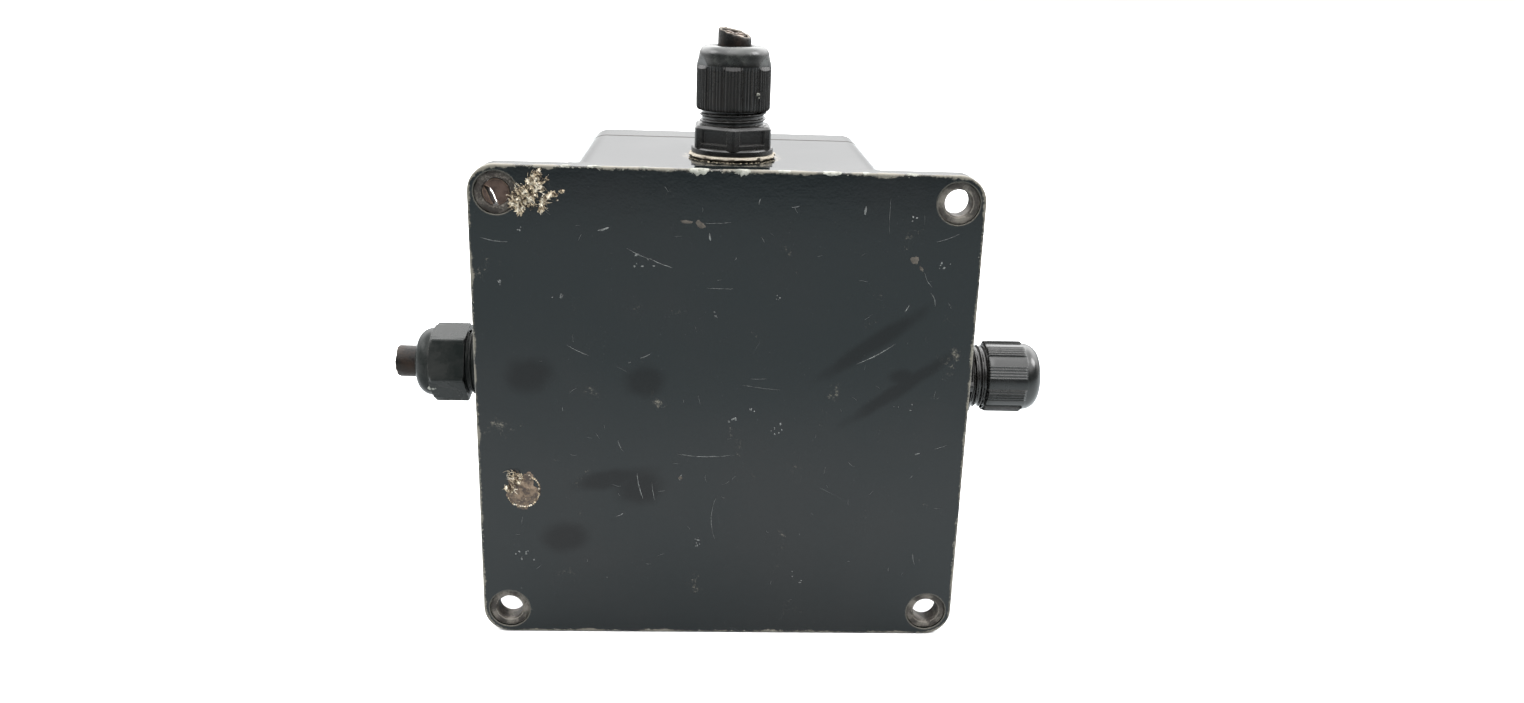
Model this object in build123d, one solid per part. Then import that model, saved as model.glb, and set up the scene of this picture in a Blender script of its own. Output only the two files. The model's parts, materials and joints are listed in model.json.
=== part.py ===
from build123d import *

import os
from math import cos, radians, tan

# Enclosed rotary isolator switch: a square moulded box with cut corners, a stack of switch decks inside it,
# a padlockable handle on its lid and three cable glands.
#
# Millimetres. +Z is up the wall, +X is to the right seen from the front, and the mounting face lies on y = 0 with
# the box in front of it, towards -Y. A "depth" is the distance in front of the mounting face, so y = -depth.
# The origin is the centre of the mounting face. A gland is drawn along its own axis: "s" is the distance outwards
# from the wall's outer face.

# ---- enclosure -------------------------------------------------------------------------------------------------
PLATE = 202.0            # side of the square mounting flange
PLATE_T = 9.0            # flange thickness
PLATE_R = 11.0           # flange corner radius
PLATE_EDGE_R = 0.8       # softening of the mounting face's edge
MOUNT_PITCH = 180.0      # wall-bolt spacing, both ways
BOLT_R = 5.25            # bore of a mounting bush
BUSH_R = 8.5             # outside of a mounting bush
BUSH_RECESS = 0.8        # how far a bush sits below the mounting face

BODY_HALF = 99.0         # half width of the box behind its lid
BODY_FLAT = 60.0         # half length of a side, between the cut corners
BODY_R = 10.0            # radius where a side meets a cut corner
ROOT_R = 3.5             # concave radius between a cut corner and the flange
WALL = 4.0
FLOOR = 6.0              # thickness of the back wall inside the box
JOINT = 105.0            # depth of the base's rim
JOINT_GAP = 0.8          # gap between rim and lid
FRONT = 131.0            # depth of the lid's front face
LID_FRONT_T = 4.5
LID_EDGE_R = 5.0

RIM_HALF = 88.0          # inside of the thickened rim, which carries the gasket inboard of the screws
RIM_FLAT = 32.0
RIM_R = 8.0
RIM_DEEP = 8.0
LID_RIM_DEEP = 5.0
GROOVE_IN = 2.0          # gasket groove, measured outwards from the rim's inside
GROOVE_OUT = 5.5
GROOVE_DEEP = 3.0

SCREW_PITCH = 144.0      # lid screws, both ways
BOSS_R = 8.5
SCREW_R = 2.95
SCREW_HEAD_R = 5.0
SCREW_HEAD_T = 5.0
SCREW_SEAT = 120.0       # depth where a screw head rests in the lid
SCREW_TIP = 84.0
INSERT_R = 4.5
INSERT_FROM = 88.0

# ---- glands ----------------------------------------------------------------------------------------------------
GLAND_DEPTH = 48.0
LEFT_GLAND_Z = 3.0
RIGHT_GLAND_Z = 5.3
TOP_GLAND_X = -1.6
ENTRY_R = 12.5           # M25 entry thread
ENTRY_HOLE_R = 12.7
GLAND_BORE_R = 8.2
SEAT_R = 11.2            # pocket for the rubber seal
CAP_THREAD_R = 14.0
CAP_PITCH = 2.5          # one turn of a cap nut moves it this far
CABLE_R = 6.95
OPEN_SEAL_R = 6.5

# ---- switch stack ----------------------------------------------------------------------------------------------
PANEL_FROM, PANEL_TO = 14.0, 16.0
POST = 58.0              # mounting-plate posts, both ways from the centre
STACK_HALF = 32.0
STACK_BASE_TO = 24.0
DECK_T = 14.0
DECK_COUNT = 3
DECK_NAMES = ("rear", "middle", "front")
DECK_FLOOR = 2.0
CHAMBER_R = 23.5
TIE = 27.0               # tie bolts, both ways from the centre
TIE_R = 1.9
DETENT_FROM = STACK_BASE_TO + DECK_COUNT * DECK_T
DETENT_TO = DETENT_FROM + 12.0
CAP_PLATE_TO = DETENT_TO + 2.0
SHAFT_R = 7.95
SHAFT_SQUARE = 11.0
CLEAR = 0.05             # running clearance per side

# ---- handle ----------------------------------------------------------------------------------------------------
DIAL_R = 42.0
DIAL_T = 2.5
RIVET = 25.5             # dial rivets, both ways from the centre
RIVET_R = 1.7
SKIRT_R = 31.0
SKIRT_FROM = FRONT + DIAL_T + 0.7
SKIRT_TO = SKIRT_FROM + 8.0
GRIP_W = 21.0
GRIP_LENGTH = 72.0
GRIP_TO = 168.0
SPINDLE_R = 5.0
SPINDLE_SQUARE = 7.0
BUSH_BORE_R = SPINDLE_R + CLEAR
LOCK_W = 14.0
LOCK_T = 4.0
LOCK_FROM = 155.0
LOCK_INNER = 9.0         # where the lock bar starts, above the handle's centre
LOCK_HOLE_Z = 26.5
PADLOCK_R = 4.0
FINGER_R = 5.5           # opening in the grip over the bar's hole, where a fingertip pushes the bar


# ---- shared shapes ---------------------------------------------------------------------------------------------
def front_plane(depth):
    """A sketch plane parallel to the mounting face: its x is X, its y is Z and it faces the front."""
    return Plane(origin=(0, -depth, 0), x_dir=(1, 0, 0), z_dir=(0, -1, 0))


def slab(sketch, depth_from, depth_to):
    """A sketch in X and Z, made solid between two depths."""
    return extrude(front_plane(depth_from) * sketch, amount=depth_to - depth_from, dir=(0, -1, 0))


def disc(radius, depth_from, depth_to, x=0.0, z=0.0):
    return slab(Pos(x, z) * Circle(radius), depth_from, depth_to)


def block(width, height, depth_from, depth_to, x=0.0, z=0.0):
    return slab(Pos(x, z) * Rectangle(width, height), depth_from, depth_to)


def four_corners(half):
    return [(sx * half, sz * half) for sx in (-1, 1) for sz in (-1, 1)]


def cut_square(half, flat, radius):
    """A square with its corners cut at 45 degrees; flat is half the length that each side keeps."""
    points = [(flat, half), (-flat, half), (-half, flat), (-half, -flat),
              (-flat, -half), (flat, -half), (half, -flat), (half, flat)]
    outline = Polygon(*points, align=None)
    return fillet(outline.vertices(), radius)


def cut_square_offset(half, flat, radius, outwards):
    """The same outline moved outwards, or inwards if negative, keeping an even wall."""
    return cut_square(half + outwards, flat + outwards * tan(radians(22.5)), radius + outwards)


def hexagon(across_flats, turned=0.0):
    return Rot(0, 0, turned) * RegularPolygon(across_flats / 2, 6, major_radius=False)


def along(shape, origin, direction):
    """Moves a gland part from its own axis, +Z from the origin, to a wall."""
    return Plane(origin=origin, z_dir=direction, x_dir=(0, 1, 0)) * shape


def tube(outer, inner, s_from, s_to):
    ring = Circle(outer) - Circle(inner) if inner else Circle(outer)
    return Pos(0, 0, s_from) * extrude(ring, amount=s_to - s_from)


def together(solids):
    """Several separate solids as one node."""
    return Compound(children=[s for group in solids for s in Compound([group]).solids()])


# ---- enclosure -------------------------------------------------------------------------------------------------
def make_base():
    flange_outline = fillet(Rectangle(PLATE, PLATE).vertices(), PLATE_R)
    flange = slab(flange_outline, 0, PLATE_T)
    back_edges = flange.edges().filter_by_position(Axis.Y, -0.01, 0.01)
    flange = fillet(back_edges, PLATE_EDGE_R)
    body = slab(cut_square(BODY_HALF, BODY_FLAT, BODY_R), PLATE_T - 0.5, JOINT)
    shell = flange + body
    root_edges = [
        e for e in shell.edges().filter_by_position(Axis.Y, -PLATE_T - 0.01, -PLATE_T + 0.01)
        if e.geom_type == GeomType.LINE and abs(abs(e.center().X) - abs(e.center().Z)) < 1.0
        and abs(e.center().X) < BODY_HALF - 5 and abs(e.tangent_at(0.5).X) > 0.3 and abs(e.tangent_at(0.5).Z) > 0.3
    ]
    shell = fillet(root_edges, ROOT_R) if root_edges else shell
    shell -= slab(cut_square_offset(BODY_HALF, BODY_FLAT, BODY_R, -WALL), FLOOR, JOINT)
    rim = (cut_square_offset(BODY_HALF, BODY_FLAT, BODY_R, -WALL + 0.5)
           - cut_square(RIM_HALF, RIM_FLAT, RIM_R))
    shell += slab(rim, JOINT - RIM_DEEP, JOINT)
    outside = slab(cut_square(BODY_HALF, BODY_FLAT, BODY_R), 0, JOINT)
    for x, z in four_corners(SCREW_PITCH / 2):
        shell += disc(BOSS_R, FLOOR - 1, JOINT, x, z) & outside
    for x, z in four_corners(POST):
        shell += disc(6.0, FLOOR - 1, PANEL_FROM, x, z)
    groove = (cut_square_offset(RIM_HALF, RIM_FLAT, RIM_R, GROOVE_OUT)
              - cut_square_offset(RIM_HALF, RIM_FLAT, RIM_R, GROOVE_IN))
    shell -= slab(groove, JOINT - GROOVE_DEEP, JOINT)
    for x, z in four_corners(SCREW_PITCH / 2):
        shell -= disc(INSERT_R + 0.02, INSERT_FROM, JOINT, x, z)
        shell -= disc(SCREW_R + 0.3, SCREW_TIP - 4, INSERT_FROM, x, z)
    for x, z in four_corners(POST):
        shell -= disc(2.1, FLOOR + 0.5, PANEL_FROM, x, z)
    for x, z in four_corners(MOUNT_PITCH / 2):
        shell -= disc(BUSH_R, 0, PLATE_T, x, z)
    for origin, direction in gland_places().values():
        shell -= along(tube(ENTRY_HOLE_R, 0, -WALL - 1, 1), origin, direction)
    return shell


def make_mount_bushes():
    """Steel sleeves that carry the wall bolts' clamping load through the moulded flange."""
    bushes = []
    for x, z in four_corners(MOUNT_PITCH / 2):
        sleeve = disc(BUSH_R - 0.02, BUSH_RECESS, PLATE_T, x, z) - disc(BOLT_R, 0, PLATE_T, x, z)
        rims = sleeve.edges().filter_by(GeomType.CIRCLE)
        bushes.append(chamfer(rims, 0.4))
    return together(bushes)


def make_lid():
    lid = slab(cut_square(BODY_HALF, BODY_FLAT, BODY_R), JOINT + JOINT_GAP, FRONT)
    front_edges = lid.edges().filter_by_position(Axis.Y, -FRONT - 0.01, -FRONT + 0.01)
    lid = fillet(front_edges, LID_EDGE_R)
    rim_from = JOINT + JOINT_GAP
    lid -= slab(cut_square_offset(BODY_HALF, BODY_FLAT, BODY_R, -WALL), rim_from, FRONT - LID_FRONT_T)
    rim = (cut_square_offset(BODY_HALF, BODY_FLAT, BODY_R, -WALL + 0.5)
           - cut_square(RIM_HALF, RIM_FLAT, RIM_R))
    lid += slab(rim, rim_from, rim_from + LID_RIM_DEEP)
    outside = slab(cut_square(BODY_HALF - 1, BODY_FLAT, BODY_R), rim_from, FRONT - 1)
    for x, z in four_corners(SCREW_PITCH / 2):
        lid += disc(BOSS_R, rim_from, FRONT - 1, x, z) & outside
    tongue = (cut_square_offset(RIM_HALF, RIM_FLAT, RIM_R, GROOVE_OUT - 0.95)
              - cut_square_offset(RIM_HALF, RIM_FLAT, RIM_R, GROOVE_IN + 0.95))
    lid += slab(tongue, rim_from - 0.45, rim_from + 0.2)
    for x, z in four_corners(SCREW_PITCH / 2):
        lid -= disc(SCREW_HEAD_R + 1.0, SCREW_SEAT, FRONT, x, z)
        lid -= disc(SCREW_R + 0.35, rim_from, FRONT, x, z)
        lid -= disc(6.0, rim_from, rim_from + 1.5, x, z)
    for x, z in four_corners(RIVET):
        lid -= disc(RIVET_R + CLEAR, FRONT - 3.0, FRONT, x, z)
    return lid - disc(9.0, rim_from, FRONT)


def make_gasket():
    ring = (cut_square_offset(RIM_HALF, RIM_FLAT, RIM_R, GROOVE_OUT - CLEAR)
            - cut_square_offset(RIM_HALF, RIM_FLAT, RIM_R, GROOVE_IN + CLEAR))
    return slab(ring, JOINT - GROOVE_DEEP + CLEAR, JOINT + 0.3)


def make_lid_inserts():
    return together(
        disc(INSERT_R, INSERT_FROM, JOINT - 0.2, x, z) - disc(SCREW_R + CLEAR, INSERT_FROM, JOINT, x, z)
        for x, z in four_corners(SCREW_PITCH / 2)
    )


def make_lid_screws():
    """Captive slotted screws, one in each corner of the lid."""
    screws = []
    for x, z in four_corners(SCREW_PITCH / 2):
        head = disc(SCREW_HEAD_R, SCREW_SEAT + 0.05, SCREW_SEAT + SCREW_HEAD_T, x, z)
        head = chamfer(head.edges().filter_by(GeomType.CIRCLE).sort_by(Axis.Y)[0], 0.8)
        shank = disc(SCREW_R, SCREW_TIP, SCREW_SEAT + 1, x, z)
        slot = block(1.6, 2 * SCREW_HEAD_R + 1, SCREW_SEAT + 3.2, SCREW_SEAT + SCREW_HEAD_T, x, z)
        screws.append(head + shank - slot)
    return together(screws)


def make_screw_retainers():
    near = JOINT + JOINT_GAP + 0.15
    return together(
        disc(5.6, near, near + 1.2, x, z) - disc(SCREW_R + CLEAR, near, near + 1.2, x, z)
        for x, z in four_corners(SCREW_PITCH / 2)
    )


# ---- inside ----------------------------------------------------------------------------------------------------
def make_mounting_plate():
    plate = slab(cut_square(70.0, 52.0, 4.0), PANEL_FROM, PANEL_TO)
    for x, z in four_corners(POST):
        plate -= disc(2.3, PANEL_FROM, PANEL_TO, x, z)
    for z in (-42.0, 42.0):
        plate -= disc(2.05, PANEL_FROM, PANEL_TO, 0, z)
    for x in (-16.0, 16.0):
        plate -= disc(2.05, PANEL_FROM, PANEL_TO, x, -60.0)
    return plate


def pan_screw(x, z, seat, head_r, head_t, shank_r, length):
    """A cross-recess pan-head screw driven towards the back wall, with its head in front of seat."""
    head = disc(head_r, seat, seat + head_t, x, z)
    head = fillet(head.edges().filter_by(GeomType.CIRCLE).sort_by(Axis.Y)[0], head_t * 0.55)
    recess = block(1.0, head_r * 1.1, seat + head_t * 0.5, seat + head_t, x, z)
    recess += block(head_r * 1.1, 1.0, seat + head_t * 0.5, seat + head_t, x, z)
    return head + disc(shank_r, seat - length, seat + 0.5, x, z) - recess


def make_plate_screws():
    return together(pan_screw(x, z, PANEL_TO + 0.02, 4.0, 2.6, 2.05, 8.5) for x, z in four_corners(POST))


def make_earth_bar():
    bar = block(46.0, 10.0, PANEL_TO + 0.02, PANEL_TO + 8.0, 0, -60.0)
    bar = chamfer(bar.edges().filter_by(Axis.Y), 1.0)
    for x in (-16.0, 16.0):
        bar -= disc(2.05, PANEL_TO, PANEL_TO + 9, x, -60.0)
    for x in (-8.0, 0.0, 8.0):
        bar -= Pos(x, -PANEL_TO - 4.0, -60.0) * Cylinder(1.8, 12)
        bar -= disc(1.6, PANEL_TO + 4.0, PANEL_TO + 9, x, -60.0)
    return bar


def make_earth_screws():
    top = PANEL_TO + 8.02
    wide = [pan_screw(x, -60.0, top, 3.4, 2.4, 2.0, 10.0) for x in (-16.0, 16.0)]
    clamps = [pan_screw(x, -60.0, top, 2.6, 2.0, 1.55, 3.6) for x in (-8.0, 0.0, 8.0)]
    return together(wide + clamps)


def make_stack_base():
    base = block(2 * STACK_HALF, 2 * STACK_HALF, PANEL_TO + 0.02, STACK_BASE_TO)
    base = chamfer(base.edges().filter_by(Axis.Y), 3.0)
    for z in (-42.0, 42.0):
        base += block(16.0, 14.0, PANEL_TO + 0.02, PANEL_TO + 5.0, 0, z * 0.88)
        base += disc(8.0, PANEL_TO + 0.02, PANEL_TO + 5.0, 0, z)
        base -= disc(2.3, PANEL_TO, PANEL_TO + 6.0, 0, z)
    base -= disc(SHAFT_R + CLEAR, PANEL_TO + 2, STACK_BASE_TO)
    for x, z in four_corners(TIE):
        base -= disc(TIE_R + CLEAR, PANEL_TO + 1.5, STACK_BASE_TO, x, z)
    return base


def make_stack_screws():
    return together(pan_screw(0, z, PANEL_TO + 5.02, 4.0, 2.6, 2.0, 6.5) for z in (-42.0, 42.0))


def deck_from(n):
    return STACK_BASE_TO + n * DECK_T


def make_deck(n):
    """One pole's moulded housing: a round chamber for the rotor, and a slot each side for a fixed contact."""
    d = deck_from(n)
    deck = block(2 * STACK_HALF, 2 * STACK_HALF, d + 0.01, d + DECK_T)
    deck = chamfer(deck.edges().filter_by(Axis.Y), 3.0)
    deck -= disc(CHAMBER_R, d + DECK_FLOOR, d + DECK_T)
    deck -= disc(SHAFT_R + 0.6, d, d + DECK_FLOOR + 1)
    for x, z in four_corners(TIE):
        deck -= disc(TIE_R + CLEAR, d, d + DECK_T, x, z)
    for side in (-1, 1):
        deck -= block(14.0, 8.1, d + 5.97, d + 8.05, side * 26.0, 0)
        deck -= across(2.0 + CLEAR, 25.0, STACK_HALF + 1, side, d + 10.7)
        for z in (-18.0, 18.0):
            deck -= block(5.0, 10.0, d + 9.0, d + DECK_T, side * (STACK_HALF - 1.5), z)
    return deck


def across(radius, x_from, x_to, side, depth, z=0.0):
    """A cylinder along X, on the side given by -1 or 1."""
    middle = side * (x_from + x_to) / 2
    return Pos(middle, -depth, z) * Rot(0, 90, 0) * Cylinder(radius, x_to - x_from)


def make_fixed_contacts():
    """L-shaped copper strips: the tongue enters the chamber and the upright carries the terminal screw."""
    strips = []
    for n in range(DECK_COUNT):
        d = deck_from(n)
        for side in (-1, 1):
            tongue = block(14.5, 8.0, d + 6.0, d + 8.0, side * 26.85, 0)
            upright = block(2.0, 11.0, d + 4.5, d + 13.6, side * (STACK_HALF + 1.1), 0)
            hole = across(2.1, STACK_HALF - 1, STACK_HALF + 3, side, d + 10.7)
            strips.append(tongue + upright - hole)
    return together(strips)


def make_terminal_washers():
    out = STACK_HALF + 2.15
    washers = []
    for n in range(DECK_COUNT):
        for side in (-1, 1):
            d = deck_from(n) + 10.7
            plate = block(1.2, 9.0, d - 3.2, d + 3.0, side * (out + 0.6), 0)
            washers.append(plate - across(2.1, out - 1, out + 2, side, d))
    return together(washers)


def make_terminal_screws():
    seat = STACK_HALF + 3.4
    screws = []
    for n in range(DECK_COUNT):
        for side in (-1, 1):
            d = deck_from(n) + 10.7
            head = across(3.2, seat, seat + 2.4, side, d)
            shank = across(2.0, 26.0, seat + 0.5, side, d)
            slot = block(1.4, 8.0, d - 0.5, d + 0.5, side * (seat + 2.0), 0)
            screws.append(head + shank - slot)
    return together(screws)


def make_bridge_contacts():
    """Copper blades keyed to the shaft. With the switch off they stand upright, clear of the fixed contacts."""
    blades = []
    for n in range(DECK_COUNT):
        d = deck_from(n)
        shape = SlotOverall(44.6, 8.0, rotation=90) + Circle(10.5) - Rectangle(SHAFT_SQUARE + 0.1, SHAFT_SQUARE + 0.1)
        blades.append(slab(shape, d + 3.95, d + 5.95))
    return together(blades)


def make_contact_rotors():
    """Insulating discs that press the blades flat and keep the arc away from the shaft."""
    rotors = []
    for n in range(DECK_COUNT):
        d = deck_from(n)
        rotor = disc(17.9, d + 6.0, d + 10.5) + disc(12.0, d + 10.0, d + DECK_T - 0.2)
        rotors.append(rotor - block(SHAFT_SQUARE + 0.1, SHAFT_SQUARE + 0.1, d, d + DECK_T))
    return together(rotors)


def make_shaft():
    shaft = disc(SHAFT_R, PANEL_TO + 2.5, STACK_BASE_TO + 2)
    shaft += block(SHAFT_SQUARE, SHAFT_SQUARE, STACK_BASE_TO + 1, DETENT_TO)
    shaft += disc(SHAFT_R, DETENT_TO - 1.5, CAP_PLATE_TO + 3)
    shaft += block(4.0, 13.0, CAP_PLATE_TO + 2, CAP_PLATE_TO + 12)
    return shaft


def make_detent_housing():
    housing = block(2 * STACK_HALF, 2 * STACK_HALF, DETENT_FROM + 0.01, DETENT_TO)
    housing = chamfer(housing.edges().filter_by(Axis.Y), 3.0)
    housing -= slab(fillet(Rectangle(44, 44).vertices(), 2.0), DETENT_FROM + 2, DETENT_TO)
    housing -= disc(SHAFT_R + 0.6, DETENT_FROM, DETENT_FROM + 3)
    for x, z in four_corners(TIE):
        housing -= disc(TIE_R + CLEAR, DETENT_FROM, DETENT_TO, x, z)
    return housing


def make_detent_wheel():
    """A wheel with a notch every quarter turn, for the two click positions."""
    wheel = Circle(15.0) - Rectangle(SHAFT_SQUARE + 0.1, SHAFT_SQUARE + 0.1)
    notch = Polygon((13.2, 0), (17.0, 5.8), (17.0, -5.8), align=None)
    for quarter in range(4):
        wheel -= Rot(0, 0, 90 * quarter) * notch
    return slab(wheel, DETENT_FROM + 2.6, DETENT_TO - 2)


def make_detent_springs():
    """Two strip springs whose folded noses rest in opposite notches of the wheel."""
    thickness = 0.8
    spine = [(21.4, -20.5), (21.4, -14.0), (17.9, -5.5), (14.3, 0.0), (17.9, 5.5), (21.4, 14.0), (21.4, 20.5)]
    inner = [(x - thickness / 2, z) for x, z in spine]
    outer = [(x + thickness / 2, z) for x, z in reversed(spine)]
    strip = Polygon(*(inner + outer), align=None)
    return together(slab(Rot(0, 0, turn) * strip, DETENT_FROM + 3, DETENT_TO - 2.5) for turn in (0, 180))


def make_stack_cap():
    cap = block(2 * STACK_HALF, 2 * STACK_HALF, DETENT_TO + 0.01, CAP_PLATE_TO)
    cap = chamfer(cap.edges().filter_by(Axis.Y), 3.0)
    cap -= disc(SHAFT_R + CLEAR, DETENT_TO, CAP_PLATE_TO)
    for x, z in four_corners(TIE):
        cap -= disc(TIE_R + CLEAR, DETENT_TO, CAP_PLATE_TO, x, z)
    return cap


def make_tie_bolts():
    length = CAP_PLATE_TO - PANEL_TO - 2
    return together(pan_screw(x, z, CAP_PLATE_TO + 0.02, 3.6, 2.4, TIE_R, length) for x, z in four_corners(TIE))


# ---- handle and its bearing ------------------------------------------------------------------------------------
def make_spindle_bush():
    """Bearing for the handle's spindle, with a groove for its O-ring."""
    bush = disc(12.5, FRONT + 0.02, FRONT + DIAL_T - 0.1) + disc(8.95, 117.0, FRONT + 1)
    bush -= disc(BUSH_BORE_R, 117.0, FRONT + DIAL_T)
    return bush - disc(7.5, 126.0, 128.8)


def make_spindle_seal():
    ring = Torus(BUSH_BORE_R + 1.2, 1.18)
    return Pos(0, -127.4, 0) * Rot(90, 0, 0) * ring


def make_bush_nut():
    nut = slab(hexagon(26.0), 119.0, FRONT - LID_FRONT_T - 0.02)
    return nut - disc(9.0, 119.0, FRONT)


def make_dial_plate():
    plate = disc(DIAL_R, FRONT + 0.02, FRONT + DIAL_T)
    plate = chamfer(plate.edges().filter_by(GeomType.CIRCLE).sort_by(Axis.Y)[0], 0.6)
    plate -= disc(12.6, FRONT, FRONT + DIAL_T)
    for x, z in four_corners(RIVET):
        plate -= disc(RIVET_R + 0.1, FRONT, FRONT + DIAL_T, x, z)
    return plate


def make_dial_rivets():
    rivets = []
    for x, z in four_corners(RIVET):
        head = disc(RIVET_R + 0.9, FRONT + DIAL_T + 0.02, FRONT + DIAL_T + 0.5, x, z)
        rivets.append(head + disc(RIVET_R, FRONT - 2.8, FRONT + DIAL_T + 0.1, x, z))
    return together(rivets)


def make_spindle():
    spindle = disc(SPINDLE_R, 97.0, 138.0)
    spindle += block(SPINDLE_SQUARE, SPINDLE_SQUARE, 137.0, 152.0)
    groove = disc(SPINDLE_R, 115.2, 116.6) - disc(SPINDLE_R - 0.9, 115.2, 116.6)
    spindle -= groove
    spindle -= disc(2.0, 140.0, 152.0)
    return spindle - cross_pin(1.52)


def cross_pin(radius):
    return Pos(0, -100.5, 0) * Rot(0, 90, 0) * Cylinder(radius, 18.0)


def make_spindle_clip():
    ring = Circle(8.0) - Circle(SPINDLE_R - 0.85)
    gap = Pos(0, -7) * Rectangle(5.0, 8.0)
    return slab(ring - gap, 115.3, 116.5)


def make_coupler():
    """Dog coupling: its slot takes the switch shaft's tang when the lid is on."""
    cup = disc(10.0, CAP_PLATE_TO + 3.6, 104.0)
    cup -= block(4.2, 14.0, CAP_PLATE_TO + 3, 93.5)
    cup -= disc(SPINDLE_R + 0.02, 96.8, 104.0)
    return cup - cross_pin(1.52)


def make_coupler_pin():
    return cross_pin(1.5)


def make_handle():
    """Knob with a raised grip; the lock bar slides in a slot in the grip's upper half."""
    skirt = disc(SKIRT_R, SKIRT_FROM, SKIRT_TO)
    skirt = fillet(skirt.edges().filter_by(GeomType.CIRCLE).sort_by(Axis.Y)[0], 3.0)
    grip_shape = SlotOverall(GRIP_LENGTH, GRIP_W, rotation=90)
    grip = slab(grip_shape, SKIRT_FROM + 1.0, GRIP_TO)
    grip = fillet(grip.edges().filter_by_position(Axis.Y, -GRIP_TO - 0.01, -GRIP_TO + 0.01), 3.5)
    knob = skirt + grip
    square = SPINDLE_SQUARE + 2 * CLEAR
    knob -= block(square, square, SKIRT_FROM - 1, 152.1)
    knob -= disc(SPINDLE_R + 0.1, SKIRT_FROM - 1, 138.2)
    knob -= disc(2.1, 150.0, GRIP_TO)
    knob -= disc(4.2, GRIP_TO - 4.0, GRIP_TO)
    slot_top = GRIP_LENGTH / 2 + 1
    knob -= block(LOCK_W + 0.3, slot_top - LOCK_INNER + 1.0, LOCK_FROM - 0.15, LOCK_FROM + LOCK_T + 0.15,
                  0, (slot_top + LOCK_INNER - 1.0) / 2)
    knob -= disc(FINGER_R, LOCK_FROM, GRIP_TO, 0, LOCK_HOLE_Z)
    return knob - pointer_shape(0.0)


def pointer_shape(inset):
    """The marker let into the grip's front, between the handle screw and the finger opening."""
    return slab(Pos(0, 12.8) * Rectangle(3.0 - inset, 13.0 - inset), GRIP_TO - 0.8, GRIP_TO)


def make_pointer():
    return pointer_shape(0.04)


def make_handle_screw():
    head = disc(4.0, GRIP_TO - 3.9, GRIP_TO - 1.2)
    shank = disc(1.95, 142.0, GRIP_TO - 3)
    slot = block(1.2, 9.0, GRIP_TO - 2.6, GRIP_TO)
    return head + shank - slot


def make_lock_bar():
    """Steel bar that is drawn out of the grip so that a padlock can pass through it."""
    outer = GRIP_LENGTH / 2 - 0.4
    length = outer - LOCK_INNER
    bar = slab(Pos(0, LOCK_INNER + length / 2) * Rectangle(LOCK_W, length), LOCK_FROM, LOCK_FROM + LOCK_T)
    keep = slab(SlotOverall(GRIP_LENGTH - 0.8, GRIP_W - 0.8, rotation=90), LOCK_FROM, LOCK_FROM + LOCK_T)
    return (bar & keep) - disc(PADLOCK_R, LOCK_FROM, LOCK_FROM + LOCK_T, 0, LOCK_HOLE_Z)


# ---- glands ----------------------------------------------------------------------------------------------------
def gland_places():
    """Where each gland stands on its wall, named as seen from the front."""
    return {
        "top": ((TOP_GLAND_X, -GLAND_DEPTH, BODY_HALF), (0, 0, 1)),
        "left": ((-BODY_HALF, -GLAND_DEPTH, LEFT_GLAND_Z), (-1, 0, 0)),
        "right": ((BODY_HALF, -GLAND_DEPTH, RIGHT_GLAND_Z), (1, 0, 0)),
    }


# washer: thickness under the collar. hex, flats: height and width of the body's hexagon. nut, length: where the cap
# nut starts and how long it is. across: the nut's width across its flats. lands: ribbed grips round the nut, or none.
# turn: degrees the nut stands turned about its axis.
GLANDS = {
    "top": {"washer": 2.0, "hex": 9.2, "flats": 31.6, "nut": 19.8, "length": 26.0, "across": 29.5,
            "lands": 6, "turn": -2.6},
    "left": {"washer": 1.6, "hex": 7.6, "flats": 30.0, "nut": 17.8, "length": 24.6, "across": 29.6,
             "lands": 9, "turn": -23.6},
    "right": {"washer": 1.6, "hex": 4.2, "flats": 30.4, "nut": 12.9, "length": 22.2, "across": 30.2,
              "lands": 0, "turn": 20.4},
}
CABLED = ("top", "right")
COLLAR_T = 2.6
SHOULDER = 9.5           # from a cap nut's mouth end back to its inner shoulder
RING_T = 5.0             # pressure ring between nut and seal
SEAL_LENGTH = 14.0
DOME_R = 5.4             # rounding of a ribbed cap nut's outer end
PLAIN_DOME_R = 6.2       # rounding of the plain cap nut's outer end
NUT_CORNER_R = 15.6      # a ribbed nut's hexagon is rounded off to this
LAND_R = 15.6
RIB_R = 0.4
RIB_PITCH = 4.8          # degrees between ribs


def hex_from(g):
    return g["washer"] + COLLAR_T


def thread_top(g):
    return g["nut"] + g["length"] - SHOULDER - RING_T - 1.0


def make_gland_body(g):
    body = tube(ENTRY_R, 0, -15.0, g["washer"] + 0.5) + tube(17.2, 0, g["washer"], hex_from(g) + 0.01)
    top = hex_from(g) + g["hex"]
    body += Pos(0, 0, hex_from(g)) * extrude(hexagon(g["flats"]), amount=g["hex"])
    if g["lands"]:
        for turn in range(6):
            window = Pos(g["flats"] / 2, 0, hex_from(g) + g["hex"] * 0.52) * Box(2.4, 12.0, g["hex"] * 0.58)
            body -= Rot(0, 0, 60 * turn + 30) * window
    body += tube(CAP_THREAD_R - 1.0, 0, top - 0.1, thread_top(g))
    turns = int((thread_top(g) - top) / CAP_PITCH)
    for n in range(turns):
        body += thread_ridge(top + 0.6 + n * CAP_PITCH)
    body -= tube(GLAND_BORE_R, 0, -15.0, thread_top(g))
    return body - tube(SEAT_R, 0, thread_top(g) - SEAL_LENGTH - 0.1, thread_top(g))


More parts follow.
